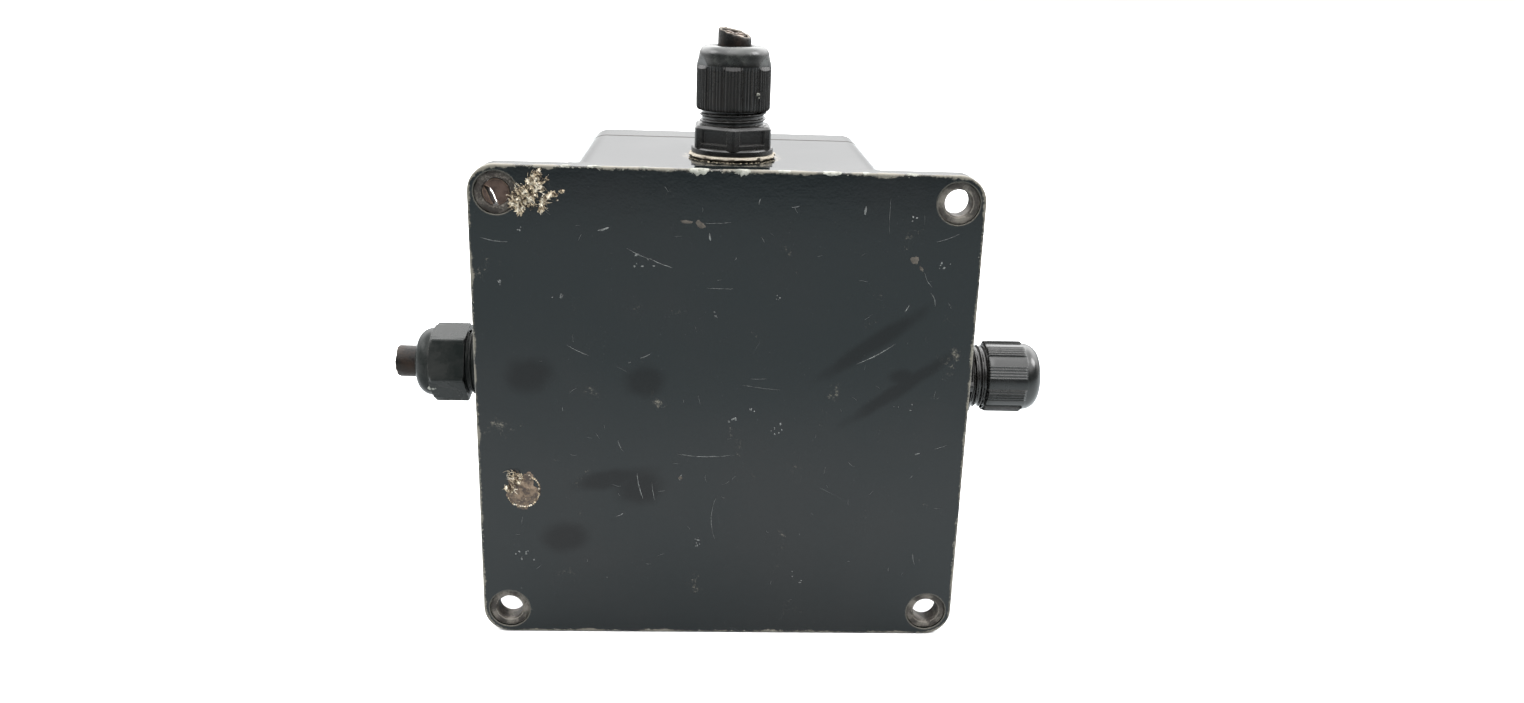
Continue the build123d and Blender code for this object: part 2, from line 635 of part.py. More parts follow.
def thread_ridge(s):
    """One ridge of the cap nut's thread, drawn as a plain ring."""
    profile = Plane.XZ * Polygon((CAP_THREAD_R - 1.1, s), (CAP_THREAD_R, s + 0.5), (CAP_THREAD_R, s + 1.0),
                                 (CAP_THREAD_R - 1.1, s + 1.5), align=None)
    return revolve(profile, Axis.Z)


def make_gland_washer(g):
    return tube(17.5, ENTRY_R + 0.1, 0.02, g["washer"] - 0.02)


def make_gland_locknut(g):
    nut = Pos(0, 0, -WALL - 6.0) * extrude(hexagon(32.0), amount=5.9)
    return nut - tube(ENTRY_R + CLEAR, 0, -WALL - 7, 0)


def make_gland_seal(g):
    inner = OPEN_SEAL_R if g is GLANDS["left"] else CABLE_R + CLEAR
    top = thread_top(g)
    return tube(SEAT_R - CLEAR, inner, top - SEAL_LENGTH, top - 0.1)


def make_gland_ring(g):
    """Pressure ring that the cap nut pushes onto the seal, its fingers drawn as slots."""
    start = thread_top(g) + 0.15
    ring = tube(12.4, 7.6, start, start + RING_T)
    for turn in range(4):
        ring -= Rot(0, 0, 45 * turn) * Pos(0, 0, start) * Box(30, 1.2, RING_T)
    return ring


def land_outline(turn, ribs):
    """One grip: a sector a little proud of the nut, with fine ribs along it."""
    width = RIB_PITCH * ribs
    reach = 30.0
    side = reach * tan(radians(width / 2))
    land = Polygon((0, 0), (reach, -side), (reach, side), align=None) & Circle(LAND_R)
    for rib in range(ribs):
        land += Rot(0, 0, RIB_PITCH * (rib - (ribs - 1) / 2)) * Pos(LAND_R, 0) * Circle(RIB_R)
    return Rot(0, 0, turn) * land


def make_cap_nut(g):
    start, length, lands = g["nut"], g["length"], g["lands"]
    skirt = length - (8.8 if lands else 7.0)
    corner_r = LAND_R + RIB_R if lands else g["across"] / 2 / cos(radians(30))
    outline = hexagon(g["across"], 30.0)
    if lands == 6:
        outline &= Circle(NUT_CORNER_R)
    elif lands:
        outline = Circle(g["across"] / 2 + 0.3)
    smooth = outline
    for land in range(lands):
        outline += land_outline(360 / lands * land, 6 if lands == 6 else 4)
    nut = Pos(0, 0, start) * extrude(outline, amount=skirt)
    dome_r = corner_r - 0.4 if lands else g["across"] / 2
    dome = tube(dome_r, 0, start + skirt - 0.5, start + length)
    dome = fillet(dome.edges().sort_by(Axis.Z)[-1], DOME_R if lands else PLAIN_DOME_R)
    nut += dome & Pos(0, 0, start) * extrude(smooth, amount=length)
    lead = Plane.XZ * Polygon((corner_r - 1.6, start), (corner_r + 1, start), (corner_r + 1, start + 1.5), align=None)
    nut -= revolve(lead, Axis.Z)
    if not lands:
        end = start + skirt
        trim = Plane.XZ * Polygon((corner_r - 2.2, end), (corner_r + 1, end), (corner_r + 1, end - 1.9), align=None)
        nut -= revolve(trim, Axis.Z)
    nut -= tube(CAP_THREAD_R + 0.15, 0, start, start + length - SHOULDER)
    nut -= tube(10.2, 0, start + length - SHOULDER - 0.1, start + length - 3.0)
    return Rot(0, 0, g["turn"]) * (nut - tube(8.6 if lands else 7.8, 0, start, start + length))


def cable_end(g):
    """Everything beyond a cable's cut end; the top cable is cut at a slant."""
    is_top = g is GLANDS["top"]
    reach = g["nut"] + g["length"] + (5.6 if is_top else 8.6)
    slant = Rot(-11.0, 8.0, 0) if is_top else Rot(0, 0, 0)
    return Pos(0, 0, reach) * slant * Pos(0, 0, 20) * Box(60, 60, 40)


CORE_SPOTS = [(x, y) for x in (-2.35, 2.35) for y in (-2.35, 2.35)]


def make_cable_sheath(g):
    sheath = tube(CABLE_R, 5.75, -22.0, g["nut"] + g["length"] + 14)
    return sheath - cable_end(g)


def make_core(g, x, y):
    """Insulation of one wire inside a cable, ending just short of the sheath's cut."""
    core = Pos(x, y) * tube(2.25, 1.3, -34.0, g["nut"] + g["length"] + 14)
    return core - Pos(0, 0, -1.2) * cable_end(g)


def make_conductor(g, x, y):
    wire = Pos(x, y) * tube(1.27, 0, -38.0, g["nut"] + g["length"] + 14)
    return wire - Pos(0, 0, -0.8) * cable_end(g)


def make_gland_parts():
    makers = {
        "body": make_gland_body, "washer": make_gland_washer, "seal": make_gland_seal,
        "pressure_ring": make_gland_ring, "cap_nut": make_cap_nut,
    }
    parts = {}
    locknuts, cores, conductors = [], [], []
    for side, (origin, direction) in gland_places().items():
        g = GLANDS[side]
        for piece, make in makers.items():
            parts[f"{side}_gland_{piece}"] = along(make(g), origin, direction)
        locknuts.append(along(make_gland_locknut(g), origin, direction))
        if side in CABLED:
            parts[f"{side}_cable_sheath"] = along(make_cable_sheath(g), origin, direction)
            cores += [along(make_core(g, x, y), origin, direction) for x, y in CORE_SPOTS]
            conductors += [along(make_conductor(g, x, y), origin, direction) for x, y in CORE_SPOTS]
    parts["gland_locknuts"] = together(locknuts)
    parts["cable_cores"] = together(cores)
    parts["cable_conductors"] = together(conductors)
    return parts


# ---- assembly --------------------------------------------------------------------------------------------------
def make_parts():
    parts = {
        "enclosure_base": make_base(), "mount_bushes": make_mount_bushes(), "enclosure_lid": make_lid(),
        "lid_gasket": make_gasket(), "lid_inserts": make_lid_inserts(), "lid_screws": make_lid_screws(),
        "screw_retainers": make_screw_retainers(), "mounting_plate": make_mounting_plate(),
        "mounting_plate_screws": make_plate_screws(), "earth_bar": make_earth_bar(),
        "earth_screws": make_earth_screws(), "switch_base": make_stack_base(),
        "switch_base_screws": make_stack_screws(), "fixed_contacts": make_fixed_contacts(),
        "terminal_washers": make_terminal_washers(), "terminal_screws": make_terminal_screws(),
        "bridge_contacts": make_bridge_contacts(), "contact_rotors": make_contact_rotors(),
        "switch_shaft": make_shaft(), "detent_housing": make_detent_housing(),
        "detent_wheel": make_detent_wheel(), "detent_springs": make_detent_springs(),
        "switch_cap_plate": make_stack_cap(), "tie_bolts": make_tie_bolts(),
        "spindle_bush": make_spindle_bush(), "spindle_seal": make_spindle_seal(), "bush_nut": make_bush_nut(),
        "dial_plate": make_dial_plate(), "dial_rivets": make_dial_rivets(), "spindle": make_spindle(),
        "spindle_clip": make_spindle_clip(), "coupler": make_coupler(), "coupler_pin": make_coupler_pin(),
        "handle_knob": make_handle(), "handle_pointer": make_pointer(), "handle_screw": make_handle_screw(),
        "lock_bar": make_lock_bar(),
    }
    for n, name in enumerate(DECK_NAMES):
        parts[f"{name}_deck"] = make_deck(n)
    parts.update(make_gland_parts())
    return parts


os.makedirs("parts", exist_ok=True)
for part_name, shape in make_parts().items():
    export_step(shape, f"parts/{part_name}.step")
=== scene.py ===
import json
import random
from math import cos, hypot, pi, radians, sin, tan

import bmesh
import bpy
from mathutils import Matrix, Vector, noise


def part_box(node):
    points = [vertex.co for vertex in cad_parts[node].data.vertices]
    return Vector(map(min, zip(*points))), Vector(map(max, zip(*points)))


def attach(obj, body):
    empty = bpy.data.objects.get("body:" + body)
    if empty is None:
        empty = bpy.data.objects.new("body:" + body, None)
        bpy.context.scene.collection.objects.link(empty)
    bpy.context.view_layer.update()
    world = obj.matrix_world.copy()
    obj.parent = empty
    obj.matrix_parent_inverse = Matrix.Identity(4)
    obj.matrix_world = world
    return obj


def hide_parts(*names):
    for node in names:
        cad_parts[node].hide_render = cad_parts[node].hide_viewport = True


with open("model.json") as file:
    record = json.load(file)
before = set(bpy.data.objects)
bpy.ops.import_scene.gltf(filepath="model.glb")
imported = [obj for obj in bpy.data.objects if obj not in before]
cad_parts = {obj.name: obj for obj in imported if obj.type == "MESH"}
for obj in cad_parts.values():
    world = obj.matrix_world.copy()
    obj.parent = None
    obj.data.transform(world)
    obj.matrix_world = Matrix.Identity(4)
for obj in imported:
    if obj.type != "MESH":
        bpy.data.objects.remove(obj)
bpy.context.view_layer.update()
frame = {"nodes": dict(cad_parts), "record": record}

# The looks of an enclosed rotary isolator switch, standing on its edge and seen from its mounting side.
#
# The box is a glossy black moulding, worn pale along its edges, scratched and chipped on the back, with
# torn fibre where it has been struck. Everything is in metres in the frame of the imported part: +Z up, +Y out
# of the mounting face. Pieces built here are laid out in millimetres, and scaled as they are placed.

MM = 0.001

# ---- sizes read from the frame -------------------------------------------------------------------
BASE_LOW, BASE_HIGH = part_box("enclosure_base")
BACK_Y = BASE_HIGH.y                       # the mounting face
PLATE_HALF = BASE_HIGH.x / MM              # half the flange's side, in mm
BOLT_HALF = frame["record"]["mounts"][0]["dims"]["spacing_x_mm"] / 2   # bolt bores, both ways from the middle
CORNER_R = PLATE_HALF - BOLT_HALF          # the flange's corners are rounded about its bolt bores

# ---- grips and threads of the glands, mm ---------------------------------------------------------
RIB_PITCH = 4.8          # degrees
RIB_HIGH = 0.4
CREST = 16.0             # outside of the ribs
THREAD_CREST = 14.0
THREAD_DEEP = 1.0
THREAD_PITCH = 2.5
WALL_THREAD_R = 12.5     # through the box's wall
COLLAR_R = 17.25
RING_ROOM_R = 10.2       # space in a nut for its pressure ring
SEAL_ROOM_R = 11.2
CABLE_ROOM_R = 8.2

# ---- camera --------------------------------------------------------------------------------------
CAMERA_PLACE = (0.0092, 0.4616, 0.1750)
CAMERA_TURN = (72.33, -1.85, 177.63)       # degrees about x, y, z
CAMERA_LENS = 28.35                        # mm on a 36 mm sensor


# ---- materials -----------------------------------------------------------------------------------
class Wiring:
    """Shader nodes being wired up. Each method adds a node and returns the socket with its result."""

    def __init__(self, tree):
        self.nodes = tree.nodes
        self.links = tree.links

    def feed(self, socket, value):
        if isinstance(value, bpy.types.NodeSocket):
            self.links.new(value, socket)
        elif isinstance(value, tuple) and len(value) == 3 and socket.type == "RGBA":
            socket.default_value = (*value, 1.0)
        else:
            socket.default_value = value

    def math(self, operation, a, b=0.0):
        node = self.nodes.new("ShaderNodeMath")
        node.operation = operation
        self.feed(node.inputs[0], a)
        self.feed(node.inputs[1], b)
        return node.outputs[0]

    def times(self, a, b):
        return self.math("MULTIPLY", a, b)

    def plus(self, a, b):
        return self.math("ADD", a, b)

    def most(self, a, b):
        return self.math("MAXIMUM", a, b)

    def vector(self, operation, a, b=None):
        node = self.nodes.new("ShaderNodeVectorMath")
        node.operation = operation
        self.links.new(a, node.inputs[0])
        if b is not None:
            self.feed(node.inputs[1], b)
        return node.outputs["Value" if operation in ("LENGTH", "DOT_PRODUCT") else "Vector"]

    def axes(self, vector):
        """The x, y and z of a vector."""
        node = self.nodes.new("ShaderNodeSeparateXYZ")
        self.links.new(vector, node.inputs[0])
        return node.outputs

    def mirrored(self):
        """1 where a reflection or bounced light meets the surface, 0 where the camera sees it."""
        return self.math("SUBTRACT", 1.0, self.nodes.new("ShaderNodeLightPath").outputs["Is Camera Ray"])

    def band(self, value, low, high, to_low=0.0, to_high=1.0):
        """Maps low..high smoothly onto to_low..to_high."""
        node = self.nodes.new("ShaderNodeMapRange")
        node.interpolation_type = "SMOOTHSTEP"
        self.feed(node.inputs["Value"], value)
        for key, number in (("From Min", low), ("From Max", high), ("To Min", to_low), ("To Max", to_high)):
            node.inputs[key].default_value = number
        return node.outputs[0]


class Look(Wiring):
    """A material being wired up, on the object's own coordinates."""

    def __init__(self, name, metallic=0.0, specular=0.5):
        self.material = bpy.data.materials.new(name)
        self.material.use_nodes = True
        super().__init__(self.material.node_tree)
        self.shader = self.nodes["Principled BSDF"]
        self.shader.inputs["Metallic"].default_value = metallic
        self.shader.inputs["Specular IOR Level"].default_value = specular
        self.place = self.nodes.new("ShaderNodeTexCoord").outputs["Object"]

    def set(self, **values):
        names = {"colour": "Base Color", "rough": "Roughness", "normal": "Normal",
                 "coat": "Coat Weight", "coat_rough": "Coat Roughness"}
        for key, value in values.items():
            self.feed(self.shader.inputs[names[key]], value)

    def moved(self, stretch=(1, 1, 1), turn=(0, 0, 0), origin=(0, 0, 0)):
        """The object's coordinates from an origin, on turned and stretched axes; a stretch of 0 drops one."""
        node = self.nodes.new("ShaderNodeMapping")
        node.vector_type = "TEXTURE"
        node.inputs["Location"].default_value = origin
        node.inputs["Rotation"].default_value = [radians(t) for t in turn]
        node.inputs["Scale"].default_value = [1 / s if s else 1e6 for s in stretch]
        self.links.new(self.place, node.inputs["Vector"])
        return node.outputs[0]

    def noise(self, scale, detail=3.0, roughness=0.55, vector=None):
        node = self.nodes.new("ShaderNodeTexNoise")
        node.inputs["Scale"].default_value = scale
        node.inputs["Detail"].default_value = detail
        node.inputs["Roughness"].default_value = roughness
        self.links.new(vector or self.place, node.inputs["Vector"])
        return node.outputs["Fac"]

    def mix(self, a, b, share):
        node = self.nodes.new("ShaderNodeMix")
        node.data_type = "RGBA"
        self.feed(node.inputs[6], a)
        self.feed(node.inputs[7], b)
        self.feed(node.inputs[0], share)
        return node.outputs[2]

    def bump(self, height, distance, strength=1.0, normal=None):
        node = self.nodes.new("ShaderNodeBump")
        node.inputs["Distance"].default_value = distance
        node.inputs["Strength"].default_value = strength
        self.feed(node.inputs["Height"], height)
        if normal is not None:
            self.links.new(normal, node.inputs["Normal"])
        return node.outputs[0]

    def rounded(self, radius):
        """Normals rounded over the piece's edges."""
        node = self.nodes.new("ShaderNodeBevel")
        node.samples = 4
        node.inputs["Radius"].default_value = radius
        return node.outputs[0]

    def edges(self, radius):
        """1 on the piece's edges and corners, 0 elsewhere."""
        normal = self.nodes.new("ShaderNodeNewGeometry").outputs["Normal"]
        return self.band(self.vector("DOT_PRODUCT", self.rounded(radius), normal), 0.995, 0.90)

    def spot(self, x, z, half_x, half_z, turn=0.0):
        """A soft ragged oval on the mounting face, in mm: 1 in the middle and 0 outside."""
        oval = self.moved((1 / (half_x * MM), 0, 1 / (half_z * MM)), (0, turn, 0), (x * MM, BACK_Y, z * MM))
        reach = self.plus(self.vector("LENGTH", oval), self.times(self.noise(90, 4.0), 0.7))
        return self.band(reach, 1.45, 0.75)


def hairlines(look, scale, turn, share):
    """Fine scratches in one direction: noise pulled out lengthways, cut thin and broken up."""
    drawn = look.moved((scale, scale, scale * 0.012), (0, turn, 0))
    line = look.band(look.noise(1.0, 2.0, 0.4, drawn), 1 - share, 1 - share + 0.03)
    broken = look.band(look.noise(34 + turn * 0.1, 2.0), 0.52, 0.62)
    return look.times(line, broken)


def rim_wear(look):
    """Pale wear along the mounting face's outline: strong at the very edge, and ragged inside it."""
    low = BOLT_HALF * MM
    flat = look.vector("ABSOLUTE", look.moved((1, 0, 1)))
    beyond = look.vector("MAXIMUM", look.vector("SUBTRACT", flat, (low, 0, low)), (0, 0, 0))
    near_edge = look.band(look.vector("LENGTH", beyond), (CORNER_R - 2.6) * MM, (CORNER_R - 0.2) * MM)
    near_face = look.band(look.axes(look.place)[1], -0.0042, -0.0006)
    patches = look.times(look.noise(60, 3.0), 0.9)
    grain = look.times(look.noise(600, 5.0, 0.8), 0.6)
    ragged = look.plus(patches, grain)
    wear = look.plus(look.times(look.times(near_edge, near_face), 0.28), ragged)
    return look.band(wear, 0.93, 1.06)


def moulding():
    """Glossy black glass-filled polyester: finely scratched, worn to pale fibre on its edges, with painted
    reflections of printed letters as dark streaks.
    """
    look = Look("moulded_polyester")
    clouds = look.noise(14, 4.0)
    colour = look.mix((0.0022, 0.0042, 0.0048), (0.0048, 0.0058, 0.0062), look.band(clouds, 0.4, 0.7))
    specks = look.band(look.noise(1500, 1.0), 0.73, 0.79)
    scratches = look.most(hairlines(look, 620, 62, 0.26), hairlines(look, 560, -28, 0.25))
    scratches = look.most(scratches, hairlines(look, 700, 8, 0.25))
    dust = look.most(look.times(specks, 0.35), look.times(scratches, 0.4))
    colour = look.mix(colour, (0.085, 0.09, 0.088), dust)
    rubbed = look.plus(look.edges(0.0011), look.times(look.noise(420, 5.0, 0.7), 0.9))
    worn = look.most(look.band(rubbed, 1.0, 1.5), rim_wear(look))
    colour = look.mix(colour, (0.17, 0.155, 0.125), look.times(worn, 0.8))
    residue = gland_residue(look)
    colour = look.mix(colour, (0.34, 0.29, 0.21), residue)
    # painted reflection: darker streaks and blotches stand in for printed letters mirrored in the gloss
    text_reflection = look.times(painted_text_reflections(look), 0.45)
    colour = look.mix(colour, (0.0012, 0.0010, 0.0010), text_reflection)
    # darker colour and almost no gloss in a band along the joint with the lid
    joint = joint_dark_band(look)
    colour = look.mix(colour, (0.012, 0.012, 0.011), joint)
    look.feed(look.shader.inputs["Specular IOR Level"], look.band(joint, 0.0, 1.0, 0.36, 0.02))
    rough = look.band(clouds, 0.35, 0.75, 0.08, 0.16)
    rough = look.plus(rough, look.times(look.most(worn, residue), 0.45))
    rough = look.plus(rough, look.times(scratches, 0.2))
    rough = look.plus(rough, look.times(text_reflection, 0.1))
    normal = look.bump(look.noise(160, 3.0), 0.0003, 0.1, look.rounded(0.0006))
    normal = look.bump(look.math("SUBTRACT", look.noise(900, 4.0), scratches), 0.00012, 0.22, normal)
    look.set(colour=colour, rough=rough, normal=normal)
    # the painted reflection also tints the gloss towards red
    look.feed(look.shader.inputs["Specular Tint"], look.mix((1.0, 1.0, 1.0), (0.5, 0.46, 0.46), text_reflection))
    return look.material


def painted_text_reflections(look):
    """Darker streaks and blotches on the mounting face: painted reflection of printed letters mirrored in its
    gloss.
    """
    marks = (
        look.spot(-60, 32, 31, 4.4, turn=35.6), look.spot(-72, 13, 33, 3.6, turn=35.6),
        look.spot(79, 16, 12, 9), look.spot(33, 14, 10, 9), look.spot(35, -33, 12, 10),
        look.spot(66, -56, 12, 9), look.spot(46, -29, 20, 5, turn=12), look.spot(-72, 18, 7, 4),
    )
    joined = marks[0]
    for mark in marks[1:]:
        joined = look.most(joined, mark)
    return look.times(joined, look.band(look.axes(look.place)[1], BACK_Y - 2 * MM, BACK_Y - 1 * MM))


def joint_dark_band(look):
    """A darker band with almost no gloss in the last millimetres of the base's walls, along the joint with the
    lid.
    """
    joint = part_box("enclosure_lid")[1].y
    away = look.math("ABSOLUTE", look.math("SUBTRACT", look.axes(look.place)[1], joint + 0.8 * MM))
    uneven = look.plus(away, look.times(look.noise(220, 3.0), 0.7 * MM))
    return look.band(uneven, 1.9 * MM, 1.4 * MM)


def gland_residue(look):
    """Tan dust left on the top wall round the gland."""
    washer_low, washer_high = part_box("top_gland_washer")
    middle = (washer_low + washer_high) / 2
    reach = look.vector("LENGTH", look.moved((1, 1, 0), (0, 0, 0), (middle.x, middle.y, 0)))
    wobbly = look.plus(reach, look.times(look.noise(260, 4.0), 0.006))
    ring = look.band(wobbly, 0.0250, 0.0225)
    crumbly = look.band(look.noise(900, 3), 0.50, 0.64)
    outside = look.band(look.axes(look.place)[2], washer_low.z - 1.5 * MM, washer_low.z - 0.5 * MM)
    return look.times(look.times(ring, outside), crumbly)


def finish(name, colour, other, rough, metallic=0.0, grain=300.0, bump=0.0001, worn=None, coat=0.0,
           specular=0.5):
    """An ordinary worn finish: two tones in patches, uneven gloss, a fine grain and rubbed edges."""
    look = Look(name, metallic, specular)
    patches = look.noise(grain * 0.25, 4.0)
    fine = look.noise(grain * 3, 4.0, 0.65)
    mottled = look.plus(patches, look.times(fine, 0.3))
    tone = look.mix(colour, other, look.band(mottled, 0.5, 0.85))
    gloss = look.band(patches, 0.3, 0.75, rough * 0.75, min(1.0, rough * 1.35))
    if worn:
        rubbed = look.plus(look.edges(0.0006), look.times(fine, 0.8))
        rubbed = look.band(rubbed, 0.75, 1.2)
        tone = look.mix(tone, worn, rubbed)
        gloss = look.plus(gloss, look.times(rubbed, 0.2))
    look.set(colour=tone, rough=gloss, coat=coat, coat_rough=0.15)
    look.set(normal=look.bump(fine, bump, 0.5, look.rounded(0.0003)))
    return look.material


def gland_nylon():
    """Dull black nylon of the gland bodies."""
    return finish("gland_nylon", (0.0022, 0.0021, 0.0020), (0.0055, 0.0050, 0.0045), 0.24, grain=500,
                  bump=0.00008, worn=(0.020, 0.018, 0.016), specular=0.48)


def worn_nut_nylon():
    """The top gland's nut: dark on its ribbed part, as painted shade of its deep grooves; lighter over its
    dome by height, partly dust and partly painted sheen from above; rubbed grey in places.
    """
    look = Look("worn_nut_nylon", specular=0.35)
    patches = look.noise(110, 4.0)
    fine = look.noise(1500, 4.0, 0.65)
    high = look.plus(look.axes(look.place)[2], look.times(look.noise(150, 3.0), 3 * MM))
    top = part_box("top_gland_cap_nut")[1].z
    dome = look.band(high, top - 7.5 * MM, top - 4 * MM)
    rubbed = look.band(look.plus(look.edges(0.0006), look.times(fine, 0.8)), 0.85, 1.3)
    # painted shade keeps the ribbed part dark; dust and painted sheen make the dome lighter by height
    colour = look.mix((0.0018, 0.0016, 0.0015), (0.0055, 0.0048, 0.0042), look.band(patches, 0.40, 0.70))
    dust_and_sheen = look.mix((0.007, 0.008, 0.0075), (0.024, 0.026, 0.023), look.band(patches, 0.45, 0.65))
    colour = look.mix(colour, dust_and_sheen, dome)
    colour = look.mix(colour, (0.026, 0.023, 0.020), rubbed)
    # the dome's gloss is raised as well
    look.feed(look.shader.inputs["Specular IOR Level"], look.band(dome, 0.0, 1.0, 0.26, 0.52))
    look.set(colour=colour, rough=look.band(patches, 0.3, 0.75, 0.20, 0.34),
             normal=look.bump(fine, 0.00008, 0.5, look.rounded(0.0003)))
    return look.material


def nut_nylon(name, tone, shine):
    """Smoother nylon of the hexagon nut and of the open gland's nut, which is darker and shines more."""
    return finish(name, (tone * 0.8, tone, tone * 0.95), (tone * 2, tone * 2.1, tone * 2), 0.25, grain=260,
                  bump=0.00005, worn=(0.04, 0.04, 0.038), specular=shine)


def fibre():
    """Frayed vulcanised fibre: tan where its surface faces up, and darker where it faces sideways."""
    look = Look("fibre", specular=0.3)
    fine = look.noise(1600, 4.0, 0.7)
    colour = look.mix((0.34, 0.31, 0.255), (0.15, 0.125, 0.095), look.band(fine, 0.45, 0.65))
    up = look.axes(look.nodes.new("ShaderNodeNewGeometry").outputs["Normal"])[2]
    reach = look.plus(up, look.times(fine, 0.5))
    # darker where the surface faces sideways, tan where it faces up
    colour = look.mix((0.035, 0.028, 0.020), colour, look.band(reach, 0.15, 0.55))
    look.set(colour=colour, rough=0.85, normal=look.bump(fine, 0.0004, 0.8))
    return look.material


def torn_fibre():
    """Bare glass fibre torn out of the moulding: cream, with brown resin left in it and painted crevice shade
    in its dark gaps.
    """
    look = Look("torn_fibre", specular=0.3)
    strands = look.noise(1.0, 5.0, 0.7, look.moved((1500, 1500, 380), (0, 35, 0)))
    lumps = look.noise(420, 4.0, 0.6)
    colour = look.mix((0.045, 0.027, 0.015), (0.56, 0.46, 0.32), look.band(strands, 0.45, 0.57))
    colour = look.mix(colour, (0.88, 0.80, 0.66), look.band(lumps, 0.52, 0.62))
    # painted shade: the darkest tone stands in for the crevices between the torn fibres
    colour = look.mix(colour, (0.022, 0.013, 0.008), look.band(lumps, 0.44, 0.37))
    look.set(colour=colour, rough=0.85, normal=look.bump(strands, 0.0006, 0.9))
    return look.material


def resin_scar():
    """The floor of a round scar: brown resin, with pale specks painted in as highlights."""
    look = Look("resin_scar", specular=0.4)
    swirl = look.noise(260, 6.0, 0.7)
    fine = look.noise(1300, 4.0, 0.7)
    colour = look.mix((0.040, 0.027, 0.020), (0.20, 0.145, 0.10), look.band(swirl, 0.42, 0.64))
    # painted highlights: pale specks on the resin
    colour = look.mix(colour, (0.50, 0.41, 0.30), look.band(fine, 0.60, 0.74))
    look.set(colour=colour, rough=look.band(swirl, 0.4, 0.6, 0.45, 0.8), normal=look.bump(fine, 0.0005, 0.8))
    return look.material


def chipped_edge():
    """Pale chalky moulding where the black skin has flaked off."""
    return finish("chipped_edge", (0.33, 0.33, 0.29), (0.10, 0.10, 0.085), 0.8, grain=900, bump=0.0004)


def rubbed_edge():
    """Khaki grey of small flakes off the box's edges."""
    return finish("rubbed_edge", (0.19, 0.185, 0.155), (0.07, 0.07, 0.06), 0.75, grain=1500, bump=0.0002)


def scratch_white():
    """The dusty burr of a scratch."""
    return finish("scratch_white", (0.16, 0.165, 0.16), (0.04, 0.042, 0.042), 0.6, grain=1500, bump=0.0002)


def dried_dirt():
    """Tan blots on the mounting face."""
    return finish("dried_dirt", (0.075, 0.063, 0.050), (0.030, 0.025, 0.021), 0.85, grain=1200, bump=0.0003)


def packed_dirt():
    """Red-brown dirt packed hard into a bolt hole."""
    return finish("packed_dirt", (0.055, 0.030, 0.020), (0.022, 0.012, 0.009), 0.9, grain=900, bump=0.0006,
                  worn=(0.20, 0.14, 0.10))


def bush_steel():
    """Dark corroded steel, rubbed bright in patches, its rims lighter partly from wear and partly as a painted
    highlight; one sleeve is caked in brown dirt.
    """
    look = Look("bush_steel", metallic=0.35)
    patches = look.noise(170, 4.0)
    fine = look.noise(1300, 4.0, 0.75)
    rubbed = look.band(look.plus(patches, look.times(fine, 0.5)), 0.66, 0.92)
    colour = look.mix((0.030, 0.025, 0.021), (0.15, 0.135, 0.115), rubbed)
    # lighter rims: partly wear, partly a painted edge highlight
    rims = look.band(look.plus(look.edges(0.0006), look.times(fine, 0.9)), 0.95, 1.3)
    colour = look.mix(colour, (0.24, 0.22, 0.19), rims)
    dirt = look.times(look.spot(BOLT_HALF, BOLT_HALF, 10, 10), look.band(fine, 0.62, 0.50))
    colour = look.mix(colour, (0.016, 0.010, 0.007), dirt)
    look.set(colour=colour, rough=look.band(fine, 0.35, 0.65, 0.45, 0.7),
             normal=look.bump(fine, 0.0004, 0.6, look.rounded(0.0003)))
    return look.material


def screw_steel():
    return finish("screw_steel", (0.55, 0.54, 0.50), (0.34, 0.32, 0.28), 0.35, metallic=0.95, grain=600)


def panel_steel():
    return finish("panel_steel", (0.58, 0.58, 0.56), (0.40, 0.41, 0.42), 0.32, metallic=0.95, grain=90)


def shaft_steel():
    return finish("shaft_steel", (0.46, 0.46, 0.45), (0.32, 0.31, 0.30), 0.28, metallic=0.95, grain=260)


def spring_steel():
    return finish("spring_steel", (0.30, 0.31, 0.36), (0.20, 0.19, 0.20), 0.30, metallic=0.95, grain=260)


def brass():
    return finish("brass", (0.62, 0.44, 0.16), (0.40, 0.26, 0.09), 0.30, metallic=0.95, grain=240)


def copper():
    """Old tinned copper, dull and browned."""
    return finish("copper", (0.15, 0.105, 0.075), (0.045, 0.034, 0.027), 0.55, metallic=0.5, grain=420)


def bare_wire():
    """Bright wire ends at a cable's cut."""
    return finish("bare_wire", (0.62, 0.45, 0.28), (0.35, 0.22, 0.13), 0.45, metallic=0.4, grain=900)


def deck_moulding():
    return finish("deck_moulding", (0.075, 0.040, 0.024), (0.050, 0.026, 0.016), 0.38, grain=320, coat=0.2)


def rotor_moulding():
    return finish("rotor_moulding", (0.56, 0.50, 0.36), (0.44, 0.38, 0.26), 0.42, grain=300)


def acetal():
    return finish("acetal", (0.66, 0.64, 0.56), (0.54, 0.51, 0.42), 0.40, grain=300)


def gasket_rubber():
    return finish("gasket_rubber", (0.020, 0.020, 0.021), (0.034, 0.033, 0.032), 0.85, grain=1400,
                  bump=0.0003)


def seal_rubber():
    return finish("seal_rubber", (0.024, 0.024, 0.024), (0.040, 0.038, 0.036), 0.70, grain=700)


def cable_rubber():
    """Perished black rubber with brown dust rubbed into it."""
    return finish("cable_rubber", (0.002, 0.0019, 0.0018), (0.017, 0.0095, 0.0055), 0.36, grain=420,
                  bump=0.0005, worn=(0.05, 0.036, 0.026), specular=0.17)


def cut_rubber():
    """The sawn end of a cable: paler, brown and crumbly."""
    return finish("cut_rubber", (0.12, 0.105, 0.085), (0.040, 0.034, 0.028), 0.8, grain=600, bump=0.0006,
                  worn=(0.20, 0.175, 0.145))


def core_insulation():
    return finish("core_insulation", (0.060, 0.038, 0.026), (0.022, 0.015, 0.011), 0.7, grain=500,
                  bump=0.0003)


